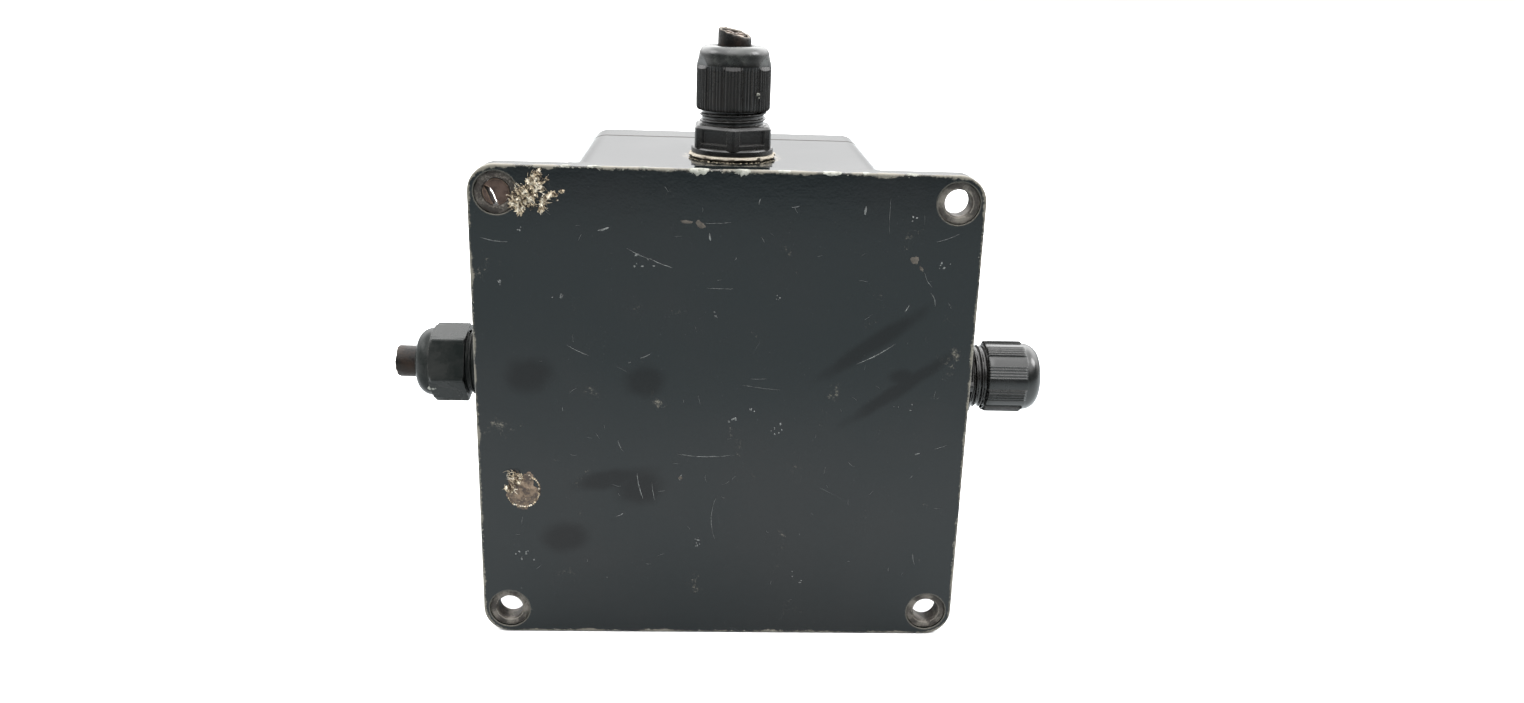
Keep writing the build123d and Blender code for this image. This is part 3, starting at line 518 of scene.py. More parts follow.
def dial_aluminium():
    return finish("dial_aluminium", (0.42, 0.43, 0.43), (0.33, 0.33, 0.33), 0.42, metallic=0.7, grain=160,
                  worn=(0.25, 0.25, 0.24))


def knob_plastic():
    return finish("knob_plastic", (0.010, 0.010, 0.010), (0.018, 0.018, 0.018), 0.28, grain=400, bump=0.00008,
                  worn=(0.06, 0.06, 0.055), coat=0.2)


def pointer_white():
    return finish("pointer_white", (0.72, 0.71, 0.66), (0.56, 0.54, 0.48), 0.5, grain=500)


def dial_ink():
    return finish("dial_ink", (0.018, 0.018, 0.018), (0.05, 0.05, 0.05), 0.5, grain=600)


def paint_everything():
    """Each node of the part takes the material named by its slot in the record."""
    made = {"grp_moulding": moulding()}
    for make in (bush_steel, screw_steel, panel_steel, shaft_steel, spring_steel, brass, copper, deck_moulding,
                 rotor_moulding, acetal, gasket_rubber, seal_rubber, gland_nylon, fibre, cable_rubber,
                 core_insulation, dial_aluminium, knob_plastic, pointer_white):
        made[make.__name__] = make()
    for entry in frame["record"]["subparts"]:
        node = frame["nodes"][entry["node"]]
        node.data.materials.clear()
        node.data.materials.append(made[entry["material_slot"]])
        smooth(node, 30)
    return made


# ---- mesh helpers --------------------------------------------------------------------------------
def smooth(obj, sharp_over):
    """Smooth shading, with edges sharper than an angle in degrees kept crisp."""
    obj.data.polygons.foreach_set("use_smooth", [True] * len(obj.data.polygons))
    obj.data.set_sharp_from_angle(angle=radians(sharp_over))


def shown(name, data):
    """An object in the scene for a mesh, a light or a camera."""
    obj = bpy.data.objects.new(name, data)
    bpy.context.scene.collection.objects.link(obj)
    return obj


def meshed(name, mesh, material):
    """An object made of a bmesh, with its material."""
    data = bpy.data.meshes.new(name)
    mesh.to_mesh(data)
    mesh.free()
    data.materials.append(material)
    return shown(name, data)


def piece(name, mesh, material, body="enclosure", stands_for=(), sharp_over=50):
    """Makes a piece of a bmesh and hangs it on a body. It may stand for some of the CAD's nodes."""
    bmesh.ops.recalc_face_normals(mesh, faces=mesh.faces)
    obj = meshed(name, mesh, material)
    smooth(obj, sharp_over)
    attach(obj, body)
    if stands_for:
        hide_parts(*stands_for)
    return obj


def placed(origin, x_axis, z_axis):
    """A matrix from millimetres about an origin to the part's frame."""
    x, z = Vector(x_axis), Vector(z_axis)
    y = z.cross(x)
    turn = Matrix((x, y, z)).transposed().to_4x4()
    return Matrix.Translation(origin) @ turn @ Matrix.Scale(MM, 4)


def gland_place(side):
    """A gland's own axes: +z along it from the wall's outer face, +x towards the mounting side."""
    low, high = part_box(f"{side}_gland_washer")
    middle = (low + high) / 2
    if side == "top":
        return placed((middle.x, middle.y, low.z), (0, 1, 0), (0, 0, 1))
    direction = -1 if side == "left" else 1
    wall = high.x if side == "left" else low.x
    return placed((wall, middle.y, middle.z), (0, 1, 0), (direction, 0, 0))


def along_gland(side, node):
    """Where a node of a gland starts and ends along its axis, in mm from the wall."""
    low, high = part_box(node)
    back = gland_place(side).inverted()
    ends = sorted(((back @ low).z, (back @ high).z))
    return ends[0], ends[1]


def fixed(radius, height):
    """A plain round ring for ring_solid."""
    return lambda angle: (radius, height)


def ring_solid(mesh, rings, steps, place, turn=0.0):
    """A closed skin through rings, the last joined to the first. A ring gives radius, height at an angle."""
    rows = []
    for ring in rings:
        row = []
        for k in range(steps):
            angle = 360 * k / steps
            radius, height = ring(angle)
            a = radians(angle + turn)
            row.append(mesh.verts.new(place @ Vector((radius * cos(a), radius * sin(a), height))))
        rows.append(row)
    for n, row in enumerate(rows):
        after = rows[(n + 1) % len(rows)]
        for k in range(steps):
            j = (k + 1) % steps
            mesh.faces.new((row[k], row[j], after[j], after[k]))
    return mesh


def angles(steps):
    """Evenly spaced angles round a circle."""
    return [2 * pi * k / steps for k in range(steps)]


def ripple(a, size, seed):
    """Noise along a circle of some size, at an angle, so that it ends as it began."""
    return noise.noise(Vector((cos(a) * size, sin(a) * size, seed)))


def hex_radius(angle, flat):
    """Distance from the axis to a hexagon whose flats are centred on 0, 60, 120 degrees."""
    return flat / cos(radians((angle + 30) % 60 - 30))


# ---- glands --------------------------------------------------------------------------------------
def grip_radius(angle, lands, half_width, plain, between, blend):
    """Outline of a ribbed nut: fine ribs on each land, and others, between deep, on the plain outline."""
    pitch = 360 / lands
    off = (angle + pitch / 2) % pitch - pitch / 2
    groove = (0.5 - 0.5 * cos(radians(360 * off / RIB_PITCH))) ** 0.7
    land = CREST - RIB_HIGH * groove
    low = plain(angle) - between * groove
    share = min(1.0, max(0.0, (abs(off) - half_width) / blend + 0.5))
    return land + (low - land) * share * share * (3 - 2 * share)


def dome_rings(outline, start, end, shoulder, neck, tip, round_high):
    """A dome that narrows from its shoulder to its neck, then rounds over to its tip on the nut's end."""
    rings = []
    straight = end - round_high - start
    for n in range(4):
        rings.append(lambda a, r=shoulder - (shoulder - neck) * n / 4, h=start + straight * n / 4:
                     (min(outline(a), r), h))
    count = 12
    for n in range(count + 1):
        t = radians(90 * n / count)
        rings.append(lambda a, r=neck - (neck - tip) * (1 - cos(t)), h=end - round_high * (1 - sin(t)):
                     (min(outline(a), r), h))
    return rings


def nut_inside(start, end, hole):
    """The rings down through a nut: its cable hole, the space for the pressure ring, and its bore."""
    bore = THREAD_CREST + 0.15
    return [fixed(hole + 0.5, end), fixed(hole, end - 0.5), fixed(hole, end - 3.0),
            fixed(RING_ROOM_R, end - 3.1), fixed(RING_ROOM_R, end - 9.5),
            fixed(bore, end - 9.6), fixed(bore, start)]


def ribbed_nut(side, material, lands, half_width, plain, between, blend, bevel, dome_high, dome, hole, turn):
    """Domed cap nut with ribbed lands. The lands end in a bevel, longest where they stand out most."""
    node = f"{side}_gland_cap_nut"
    start, end = along_gland(side, node)
    top = end - dome_high
    grip = lambda a: grip_radius(a, lands, half_width, plain, between, blend)
    bevel_low = lambda a: top - 0.05 - bevel * (CREST - plain(a))
    foot = start + 1.2
    head = top - 2.0
    rings = [fixed(THREAD_CREST + 0.4, start)]
    for inset, height in ((1.0, start), (0.25, start + 0.5)):
        rings.append(lambda a, i=inset, h=height: (grip(a) - i, h))
    levels = 6
    for n in range(levels + 1):
        rings.append(lambda a, h=foot + (head - foot) * n / levels: (grip(a), h))
    rings.append(lambda a: (grip(a), bevel_low(a)))
    rings.append(lambda a: (min(plain(a), dome["shoulder"]), top))
    rings += dome_rings(plain, top + 0.15, end, **dome)
    rings += nut_inside(start, end, hole)
    mesh = ring_solid(bmesh.new(), rings, 720, gland_place(side), turn)
    return piece(node + "_shape", mesh, material, f"{side}_nut", (node,), sharp_over=28)


def smooth_nut(side, material, flat, hole, turn):
    """Plain hexagon cap nut with chamfered ends and a rounded nose."""
    node = f"{side}_gland_cap_nut"
    start, end = along_gland(side, node)
    corner = flat * 1.145           # the hexagon's corners are turned down to this
    nose_high = 7.0
    hexagon = lambda a: min(hex_radius(a, flat), corner)
    hex_end = end - nose_high
    rings = [fixed(THREAD_CREST + 0.5, start)]
    for cut, height in ((0.7, start), (0.0, start + 0.4), (0.0, start + 6),
                        (0.0, hex_end - 5), (0.0, hex_end - 1.2), (1.2, hex_end - 0.2), (1.8, hex_end)):
        rings.append(lambda a, r=corner - cut, h=height: (min(hexagon(a), r), h))
    rings += dome_rings(lambda a: flat, hex_end + 0.2, end, shoulder=flat - 0.1, neck=flat - 0.15,
                        tip=hole + 0.4, round_high=nose_high - 0.4)
    rings += nut_inside(start, end, hole)
    mesh = ring_solid(bmesh.new(), rings, 360, gland_place(side), turn)
    return piece(node + "_shape", mesh, material, f"{side}_nut", (node,), sharp_over=28)


def thread_height(angle, height):
    """Radius of a right-hand helical ridge at an angle and height."""
    turn = (height / THREAD_PITCH - angle / 360) % 1.0
    rise = min(1.0, max(0.0, min(turn, 0.62 - turn) / 0.2))
    return THREAD_CREST - THREAD_DEEP * (1 - rise)


def gland_body(side, material, flat, hex_high, windows):
    """Gland body: round collar, hexagon with recessed windows, then the thread for the cap nut."""
    node = f"{side}_gland_body"
    inner, thread_top = along_gland(side, node)
    collar = along_gland(side, f"{side}_gland_washer")[1]
    hex_low = collar + 2.6
    hex_top = hex_low + hex_high
    low, high = hex_low + hex_high * 0.22, hex_low + hex_high * 0.82     # of the windows
    window_half, window_deep = 5.9, 1.3
    hexagon = lambda a: min(hex_radius(a - 30, flat), flat * 1.135)

    def windowed(angle):
        off = angle % 60 - 30
        inside = windows and abs(flat * tan(radians(off))) < window_half
        return (flat - window_deep) / cos(radians(off)) if inside else hexagon(angle)

    rings = [fixed(WALL_THREAD_R, inner), fixed(WALL_THREAD_R, 0.1), fixed(WALL_THREAD_R, collar),
             fixed(COLLAR_R - 0.25, collar), fixed(COLLAR_R, collar + 0.3), fixed(COLLAR_R, hex_low - 0.5),
             fixed(COLLAR_R - 0.35, hex_low)]
    outline = ((hexagon, hex_low + 0.02, 0), (hexagon, low, 0),
               (windowed, low + 0.12, 0), (windowed, high, 0),
               (hexagon, high + 0.12, 0), (hexagon, hex_top - 1.0, 0), (hexagon, hex_top, 1.1))
    for shape, height, inset in outline:
        rings.append(lambda a, f=shape, h=height, i=inset: (f(a) - i, h))
    step = 0.25
    for n in range(int((thread_top - hex_top) / step)):
        rings.append(lambda a, h=hex_top + 0.05 + n * step: (thread_height(a, h), h))
    seal_foot = thread_top - 14.1
    rings += [fixed(THREAD_CREST - 1.2, thread_top), fixed(SEAL_ROOM_R, thread_top),
              fixed(SEAL_ROOM_R, seal_foot), fixed(CABLE_ROOM_R, seal_foot), fixed(CABLE_ROOM_R, inner)]
    mesh = ring_solid(bmesh.new(), rings, 360, gland_place(side))
    return piece(node + "_shape", mesh, material, stands_for=(node,), sharp_over=28)


def frayed_washer(material):
    """The top gland's fibre washer, swollen and frayed round its rim."""
    node = "top_gland_washer"
    high = along_gland("top", node)[1]

    def ragged(radius, height, wave):
        def at(angle):
            point = Vector((cos(radians(angle)) * 4, sin(radians(angle)) * 4, height))
            return radius + wave * noise.noise(point), height + 0.25 * wave * noise.noise(point * 1.7)
        return at

    rings = [fixed(12.6, 0.02), ragged(17.4, 0.02, 0.3), ragged(18.1, 0.5, 0.8), ragged(18.3, 1.1, 1.0),
             ragged(17.9, high - 0.2, 0.7), ragged(17.3, high, 0.3), fixed(12.6, high)]
    mesh = ring_solid(bmesh.new(), rings, 240, gland_place("top"))
    return piece(node + "_shape", mesh, material, stands_for=(node,), sharp_over=60)


def cable_stub(side, material, cut_material, lean_x, lean_y, middle_high):
    """A cut cable sheath: an uneven tube, sawn at a slant with a ragged, paler rim. The leans are slopes."""
    node = f"{side}_cable_sheath"
    low = along_gland(side, node)[0]

    def skin(radius, height, cut):
        def at(angle):
            a = radians(angle)
            wave = 0.22 * ripple(a, 2, height * 0.25)
            if not cut:
                return radius + wave, height
            ragged = 0.35 * ripple(a, 5, radius * 0.7)
            return radius + wave, height + (lean_x * cos(a) + lean_y * sin(a)) * radius + ragged
        return at

    outer, inner = 6.95, 5.4
    rings = [skin(outer, low + (middle_high - 3.4 - low) * n / 8, False) for n in range(9)]
    rings += [skin(outer, middle_high - 0.6, True), skin(outer - 0.3, middle_high, True),
              skin(inner + 0.5, middle_high + 0.05, True), skin(inner, middle_high - 0.5, True),
              skin(inner + 0.2, middle_high - 3.5, False), skin(inner, low, False)]
    mesh = ring_solid(bmesh.new(), rings, 96, gland_place(side))
    piece(node + "_shape", mesh, material, stands_for=(node,), sharp_over=60)
    rim = [skin(outer - 0.35, middle_high - 0.1, True), skin(outer - 0.5, middle_high + 0.12, True),
           skin(inner + 0.6, middle_high + 0.16, True), skin(inner + 0.1, middle_high - 0.3, True),
           skin(inner + 0.4, middle_high - 0.5, True)]
    mesh = ring_solid(bmesh.new(), rim, 96, gland_place(side))
    return piece(f"{side}_cable_cut", mesh, cut_material, sharp_over=60)


# ---- the box's bushes and its damage -------------------------------------------------------------
def on_face(x, z, lift):
    """A point on the mounting face, given in the frame's x and z in mm, lifted off it by so many mm."""
    return Vector((x * MM, BACK_Y + lift * MM, z * MM))


def worn_bushes(material):
    """Steel sleeves in the four bolt holes, their ends dented and rubbed."""
    low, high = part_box("mount_bushes")
    near, far = (BACK_Y - high.y) / MM, (BACK_Y - low.y) / MM
    mesh = bmesh.new()
    for sx in (-1, 1):
        for sz in (-1, 1):
            place = placed((sx * BOLT_HALF * MM, BACK_Y, sz * BOLT_HALF * MM), (1, 0, 0), (0, -1, 0))

            def dented(radius, depth, wave, seed=sx * 3 + sz):
                def at(angle):
                    a = radians(angle)
                    dent = noise.noise(Vector((cos(a) * 2.5 + seed, sin(a) * 2.5, radius)))
                    return radius + wave * 0.4 * dent, depth + wave * abs(dent)
                return at

            rings = [dented(5.9, near, 0.2), dented(6.9, near, 0.35), dented(7.9, near, 0.3),
                     dented(8.3, near + 0.15, 0.1), fixed(8.48, near + 0.5), fixed(8.48, far - 0.3),
                     fixed(8.2, far), fixed(5.7, far), fixed(5.25, far - 0.4), fixed(5.25, near + 1.2),
                     dented(5.4, near + 0.5, 0.12)]
            ring_solid(mesh, rings, 96, place)
    return piece("mount_bushes_shape", mesh, material, stands_for=("mount_bushes",), sharp_over=40)


def lump(mesh, x, z, radius, height, seed, stretch=1.0, turn=0.0, rings=14, steps=64, fibrous=0.0):
    """An irregular crusty patch on the mounting face, thickest inside and ragged at its rim.

    A fibrous one is torn further in at its rim, and ridged along its turn.
    """
    t = radians(turn)
    tear = 0.22 + 0.4 * fibrous
    rows = []
    for n in range(rings + 1):
        share = max(0.04, n / rings)
        row = []
        for a in angles(steps):
            edge = radius * (1 + 0.42 * ripple(a, 1.6, seed) + tear * ripple(a, 5, seed))
            u, v = edge * share * cos(a) * stretch, edge * share * sin(a)
            px, pz = x + u * cos(t) - v * sin(t), z + u * sin(t) + v * cos(t)
            rough = noise.noise(Vector((px * 0.9, seed, pz * 0.9)))
            rough += 0.6 * noise.noise(Vector((px * 2.6, seed, pz * 2.6)))
            rough += 1.6 * fibrous * noise.noise(Vector((u * 0.35, seed, v * 2.2)))
            lift = max(0.03, height * (1 - share ** 3) * (0.75 + 0.9 * rough)) if n < rings else -0.15
            row.append(mesh.verts.new(on_face(px, pz, lift)))
        rows.append(row)
    tube(mesh, rows)


def tube(mesh, rows):
    """A closed skin over rows of vertices, each row a loop, with a face across each end."""
    sides = len(rows[0])
    for n in range(len(rows) - 1):
        for k in range(sides):
            j = (k + 1) % sides
            mesh.faces.new((rows[n][k], rows[n + 1][k], rows[n + 1][j], rows[n][j]))
    mesh.faces.new(rows[0])
    mesh.faces.new(rows[-1])


def strand(mesh, points, radius, sides=5):
    """A tapering fibre through points given as (x, z, lift) in mm on the mounting face."""
    rows = []
    for n, (x, z, lift) in enumerate(points):
        ahead = points[min(n + 1, len(points) - 1)]
        behind = points[max(n - 1, 0)]
        run = Vector((ahead[0] - behind[0], ahead[1] - behind[1])).normalized()
        thick = radius * (1 - 0.8 * n / (len(points) - 1))
        row = []
        for a in angles(sides):
            out = thick * cos(a)
            row.append(mesh.verts.new(on_face(x - run.y * out, z + run.x * out, lift + thick * sin(a))))
        rows.append(row)
    tube(mesh, rows)


def fibres(mesh, x, z, spread, length, count, lean, rng):
    """Loose fibres standing out of a patch, mostly leaning one way, in degrees."""
    for _ in range(count):
        px, pz = x + rng.uniform(-spread, spread), z + rng.uniform(-spread, spread)
        heading = radians(lean + rng.gauss(0, 50))
        reach = length * rng.uniform(0.4, 1.0)
        curl = rng.uniform(-0.9, 0.9)
        points = []
        for n in range(6):
            t = n / 5
            turn = heading + curl * t
            points.append((px + reach * t * cos(turn), pz + reach * t * sin(turn), 0.5 + 0.5 * sin(pi * t)))
        strand(mesh, points, rng.uniform(0.08, 0.2))


def torn_patch(material):
    """Fibre torn out beside one bolt hole: a main patch, a curled strip beside it and loose bits."""
    rng = random.Random(4)
    mesh = bmesh.new()
    main_patch = (
        (81.4, 86.2, 3.6, 0.9, 1.2, -50), (78.8, 89.4, 3.6, 1.0, 1.25, -50),
        (75.8, 92.6, 3.6, 1.0, 1.15, -55), (76.0, 89.4, 1.8, 0.8, 1.3, -50),
        (74.0, 97.0, 1.5, 0.7, 1.5, -80), (80.8, 83.2, 1.5, 0.6, 1.3, -70))
    strip = (
        (72.6, 83.9, 1.2, 0.8, 1.6, -75), (72.0, 86.2, 1.1, 0.8, 1.6, -70), (70.6, 88.2, 1.2, 0.8, 1.7, -50),
        (68.9, 89.6, 1.1, 0.7, 1.7, -30), (66.9, 89.6, 0.8, 0.6, 1.5, -20))
    bits = ((64.6, 91.0, 0.7, 0.4, 1.6, -20), (66.4, 87.6, 0.4, 0.3, 1.2, 0), (70.2, 95.6, 0.7, 0.4, 1.2, 30))
    for n, (x, z, radius, height, stretch, turn) in enumerate(main_patch + strip + bits):
        lump(mesh, x, z, radius, height, seed=n * 3.7, stretch=stretch, turn=turn, steps=96, fibrous=1.0)
    fibres(mesh, 79.0, 88.5, 3.8, 4.6, 70, 125, rng)
    fibres(mesh, 75.0, 93.5, 2.8, 4.8, 44, 110, rng)
    fibres(mesh, 73.6, 97.6, 1.0, 3.0, 10, 90, rng)
    fibres(mesh, 70.8, 87.0, 2.0, 3.0, 20, 130, rng)
    fibres(mesh, 82.5, 88.5, 2.4, 3.5, 26, 200, rng)
    return piece("torn_fibre_patch", mesh, material)


def round_scar(floor_material, rim_material):
    """A round flaked spot with a bright rim and a tuft of fibres."""
    x, z, radius = 83.0, -34.5, 6.9
    mesh = bmesh.new()
    lump(mesh, x, z, radius * 1.07, 0.45, seed=21.3, stretch=0.97)
    piece("round_scar_floor", mesh, floor_material)
    rng = random.Random(9)
    mesh = bmesh.new()
    for n in range(30):
        a = radians(-150 + 215 * n / 29)
        r = radius * (1 + 0.1 * ripple(a, 2, 3))
        lump(mesh, x - r * cos(a), z + r * sin(a) * 1.08, rng.uniform(0.35, 0.6), 0.45, seed=n,
             rings=4, steps=14)
    lump(mesh, x + 2.2, z + 4.8, 2.8, 0.9, seed=5.5)
    lump(mesh, x + 5.2, z + 0.5, 2.0, 0.8, seed=8.5)
    fibres(mesh, x + 2.5, z + 6.0, 2.6, 4.0, 26, 70, rng)
    fibres(mesh, x + 5.5, z + 1.0, 2.0, 3.0, 14, 170, rng)
    return piece("round_scar_fibre", mesh, rim_material)


def flake(mesh, x, length, drop, seed, wrap=2.2):
    """A chip over the flange's top edge: ragged on the mounting face, thinner on the edge face."""
    columns, levels = 26, 10
    top = PLATE_HALF
    rows = []
    for i in range(columns + 1):
        u = 2 * i / columns - 1
        swell = max(0.05, 1 - u * u) ** 0.55
        ragged = 1 + 0.5 * noise.noise(Vector((u * 3, seed, 0)))
        ragged += 0.35 * noise.noise(Vector((u * 9, seed, 1)))
        depth = drop * swell * ragged
        behind = wrap * swell * (1 + 0.5 * noise.noise(Vector((u * 5, seed, 2))))
        across = x + u * length / 2
        row = []
        for j in range(levels + 1):
            v = j / levels
            along = -behind + (depth + behind) * v
            rough = 0.08 + 0.14 * abs(noise.noise(Vector((u * 7, v * 5, seed))))
            rough = -0.1 if j in (0, levels) or i in (0, columns) else rough
            if along < 0:
                row.append(Vector((across * MM, BACK_Y + (along - 0.3) * MM, (top + rough) * MM)))
            else:
                row.append(on_face(across, top - 0.15 - along, rough - 0.35 * max(0.0, 1 - along / 0.6)))
        row.append(on_face(across, top - 0.8 - depth, -0.8))
        row.append(on_face(across, top - 0.9, -behind - 0.6))
        rows.append([mesh.verts.new(point) for point in row])
    tube(mesh, rows)


def edge_chips(material):
    """Chips along the top edge of the flange."""
    mesh = bmesh.new()
    for n, (x, length, drop) in enumerate(((12.0, 8.0, 2.4), (-4.9, 6.5, 2.0), (-21.0, 5.0, 0.8),
                                           (-39.5, 8.0, 1.2), (-53.0, 3.0, 0.7), (52.0, 6.0, 0.6),
                                           (33.0, 3.5, 0.5), (-71.0, 5.0, 0.7), (63.0, 4.0, 0.8))):
        flake(mesh, x, length, drop, seed=n * 5.1)
    return piece("edge_chips", mesh, material)


def scratch(mesh, start, end, width, bend, lift=0.05):
    """A raised burr along a scratch, in mm on the mounting face: pointed at both ends and uneven."""
    x0, z0 = start
    x1, z1 = end
    length = hypot(x1 - x0, z1 - z0)
    side_x, side_z = -(z1 - z0) / length, (x1 - x0) / length
    count = max(8, int(length * 2))
    rows = []
    for n in range(count + 1):
        t = n / count
        bow = bend * 4 * t * (1 - t) + 0.12 * noise.noise(Vector((x0 + t * length * 0.8, z0, 1)))
        x, z = x0 + (x1 - x0) * t + side_x * bow, z0 + (z1 - z0) * t + side_z * bow
        half = width / 2 * sin(pi * min(1.0, max(0.02, t))) ** 0.5
        half *= 0.6 + 0.8 * abs(noise.noise(Vector((x * 1.5, z * 1.5, 7))))
        rows.append([mesh.verts.new(on_face(x + side_x * half * k, z + side_z * half * k, lift * h - 0.01))
                     for k, h in ((-1, 0), (-0.4, 1), (0.4, 1), (1, 0), (0, -1))])
    tube(mesh, rows)


def scratches(material):
    """The scratches that stand out on the mounting face, then a scatter of small ones."""
    mesh = bmesh.new()
    marked = (
        ((-53.4, 23.2), (-68.8, 32.2), 0.55, 0.6), ((39.7, 69.3), (30.0, 64.8), 0.4, 0.4),
        ((31.0, 65.5), (21.6, 61.7), 0.45, 0.3), ((39.3, 21.9), (38.0, 22.4), 0.5, 0.0),
        ((34.5, 24.0), (30.2, 26.0), 0.6, 0.2), ((63.7, 29.1), (55.0, 24.8), 0.45, 0.3),
        ((19.2, -17.4), (-4.8, -17.5), 0.35, 1.0), ((43.5, -11.6), (41.3, -16.6), 0.4, 0.3),
        ((35.6, -26.0), (33.0, -38.0), 0.55, 0.5), ((2.0, -35.7), (2.8, -56.0), 0.3, 2.0),
        ((96.5, 72.4), (85.8, 70.7), 0.4, 0.5), ((-82.3, 74.6), (-91.2, 78.0), 0.35, 0.4),
        ((-78.5, 62.0), (-82.0, 56.0), 0.35, 0.6), ((-81.2, 54.0), (-83.6, 47.8), 0.45, -0.8),
        ((-71.6, 45.6), (-73.2, 48.6), 0.6, 0.2), ((-82.1, -15.6), (-80.0, -16.4), 0.7, 0.1),
        ((-88.0, -13.6), (-93.5, -11.6), 0.3, 0.2), ((8.1, 53.8), (-2.4, 53.7), 0.25, 0.1),
        ((-7.3, 13.3), (-22.5, 11.4), 0.25, 0.2), ((-10.0, 16.0), (-17.0, 16.2), 0.2, 0.1),
        ((29.4, -30.0), (28.0, -39.0), 0.3, 0.3), ((44.5, -46.2), (41.2, -44.6), 0.6, 0.2),
        ((-63.0, 91.5), (-63.4, 77.0), 0.2, 0.2), ((-82.4, -62.0), (-83.6, -67.4), 0.45, 0.3),
        ((10.0, 80.0), (-1.0, 80.5), 0.2, 0.3), ((51.0, 76.0), (46.5, 77.4), 1.3, 0.2),
        ((-12.0, 90.0), (-11.6, 87.6), 0.6, 0.1), ((-24.4, 87.0), (-27.6, 87.6), 0.6, 0.2),
        ((7.4, 76.0), (7.0, 72.8), 1.0, 0.1), ((-53.6, 88.0), (-53.2, 84.6), 1.3, 0.1),
    )
    for start, end, width, bend in marked:
        scratch(mesh, start, end, width, bend)
    rng = random.Random(17)
    for _ in range(75):
        x, z = rng.uniform(-92, 92), rng.uniform(-88, 92)
        heading, length = rng.uniform(0, pi), rng.uniform(0.8, 3.6) ** 1.1
        end = (x + length * cos(heading), z + length * sin(heading))
        scratch(mesh, (x, z), end, rng.uniform(0.10, 0.24), rng.uniform(-0.3, 0.3), lift=0.03)
    return piece("scratches", mesh, material, sharp_over=60)


def crumbs(material):
    """Small pale nicks: groups of them where something was dragged across, and a few alone."""
    rng = random.Random(23)
    mesh = bmesh.new()
    groups = ((-4.4, -1.5, 2.2, 7), (-10.8, 2.4, 1.4, 4), (-22.0, -5.4, 2.2, 7), (10.5, -58.0, 2.4, 7),
              (17.8, -28.2, 1.0, 2), (5.0, 42.5, 1.5, 3), (-21.0, 50.0, 1.8, 4), (66.5, 49.0, 1.8, 5),
              (83.0, -63.5, 4.5, 8), (89.4, 54.5, 1.4, 4), (-33.0, -73.0, 3.0, 4), (-85.0, 66.0, 3.2, 5),
              (-72.5, 84.0, 1.4, 3), (-73.0, 6.0, 3.0, 4), (82.0, 76.5, 1.5, 3), (34.0, 63.0, 4.0, 6))
    for x, z, spread, count in groups:
        for _ in range(count):
            px, pz = x + rng.gauss(0, spread * 0.5), z + rng.gauss(0, spread * 0.5)
            lump(mesh, px, pz, rng.uniform(0.2, 0.5), 0.08, rng.uniform(0, 99), rng.uniform(0.6, 2.2),
                 rng.uniform(0, 180), rings=3, steps=12)
    return piece("nicks", mesh, material, sharp_over=60)


def edge_nicks(material):
    """Small flakes round the mounting face's edge, in clusters with bare stretches between them."""
    rng = random.Random(31)
    mesh = bmesh.new()
    straight = BOLT_HALF - 1
    for across, up in ((1, 0), (-1, 0), (0, 1), (0, -1)):
        for _ in range(13):
            middle, spread = rng.uniform(-84, 84), rng.uniform(1.5, 6.0)
            for _ in range(rng.randint(3, 9)):
                run = max(-straight, min(straight, middle + rng.gauss(0, spread)))
                inset = PLATE_HALF - 0.55 - abs(rng.gauss(0, 0.3))
                x, z = across * inset + up * run, up * inset + across * run
                lump(mesh, x, z, rng.uniform(0.13, 0.32), 0.05, rng.uniform(0, 99), rng.uniform(1.0, 2.6),
                     90 * abs(across) + rng.uniform(-35, 35), rings=3, steps=10)
    return piece("edge_nicks", mesh, material, sharp_over=60)


def stains(material):
    """Two tan blots of dried dirt."""
    mesh = bmesh.new()
    lump(mesh, 16.4, 80.3, 0.7, 0.06, 3.0, 4.2, 4, rings=5, steps=30)
    lump(mesh, 11.0, 79.4, 1.5, 0.06, 7.0, 1.6, 38, rings=5, steps=30)
    lump(mesh, -74.2, 67.0, 1.9, 0.10, 11.0, 1.0, 0, rings=6, steps=30)
    lump(mesh, -77.0, 63.6, 0.6, 0.06, 15.0, 2.6, 50, rings=4, steps=20)
    lump(mesh, 17.6, -28.2, 0.9, 0.06, 19.0, 1.2, 0, rings=4, steps=20)
    return piece("stains", mesh, material, sharp_over=60)


def plugged_bore(material):
    """Hard dirt in one bolt hole, from both sides, that leaves a narrow leaning slit of daylight."""
    mesh = bmesh.new()
    steps, radius = 48, 5.15
    slit_x, slit_lean, slit_wide, slit_top = 1.2, 0.45, 2.3, 2.3
    front, back = 1.4, 8.6
    for far_side in (False, True):
        rows = []
        for depth in (front, 1.6, 2.4, 4.0, 6.0, 7.6, 8.4, back):
            reach = radius * (0.6 if depth in (front, back) else 1.0)
            row = []
            for a in angles(steps):
                px, pz = reach * cos(a), reach * sin(a)
                slit = slit_x + slit_lean * pz + 0.5 * noise.noise(Vector((pz * 0.8, depth * 0.5, 2)))
                if far_side:
                    px = max(px, min(slit + slit_wide, radius - 0.1))
                elif pz < slit_top:
                    px = min(px, slit)
                lift = 0.5 * noise.noise(Vector((px * 0.7, pz * 0.7, depth)))
                row.append(mesh.verts.new(on_face(BOLT_HALF + px, BOLT_HALF + pz, -depth + lift)))
            rows.append(row)
        tube(mesh, rows)
    return piece("plugged_bore", mesh, material)


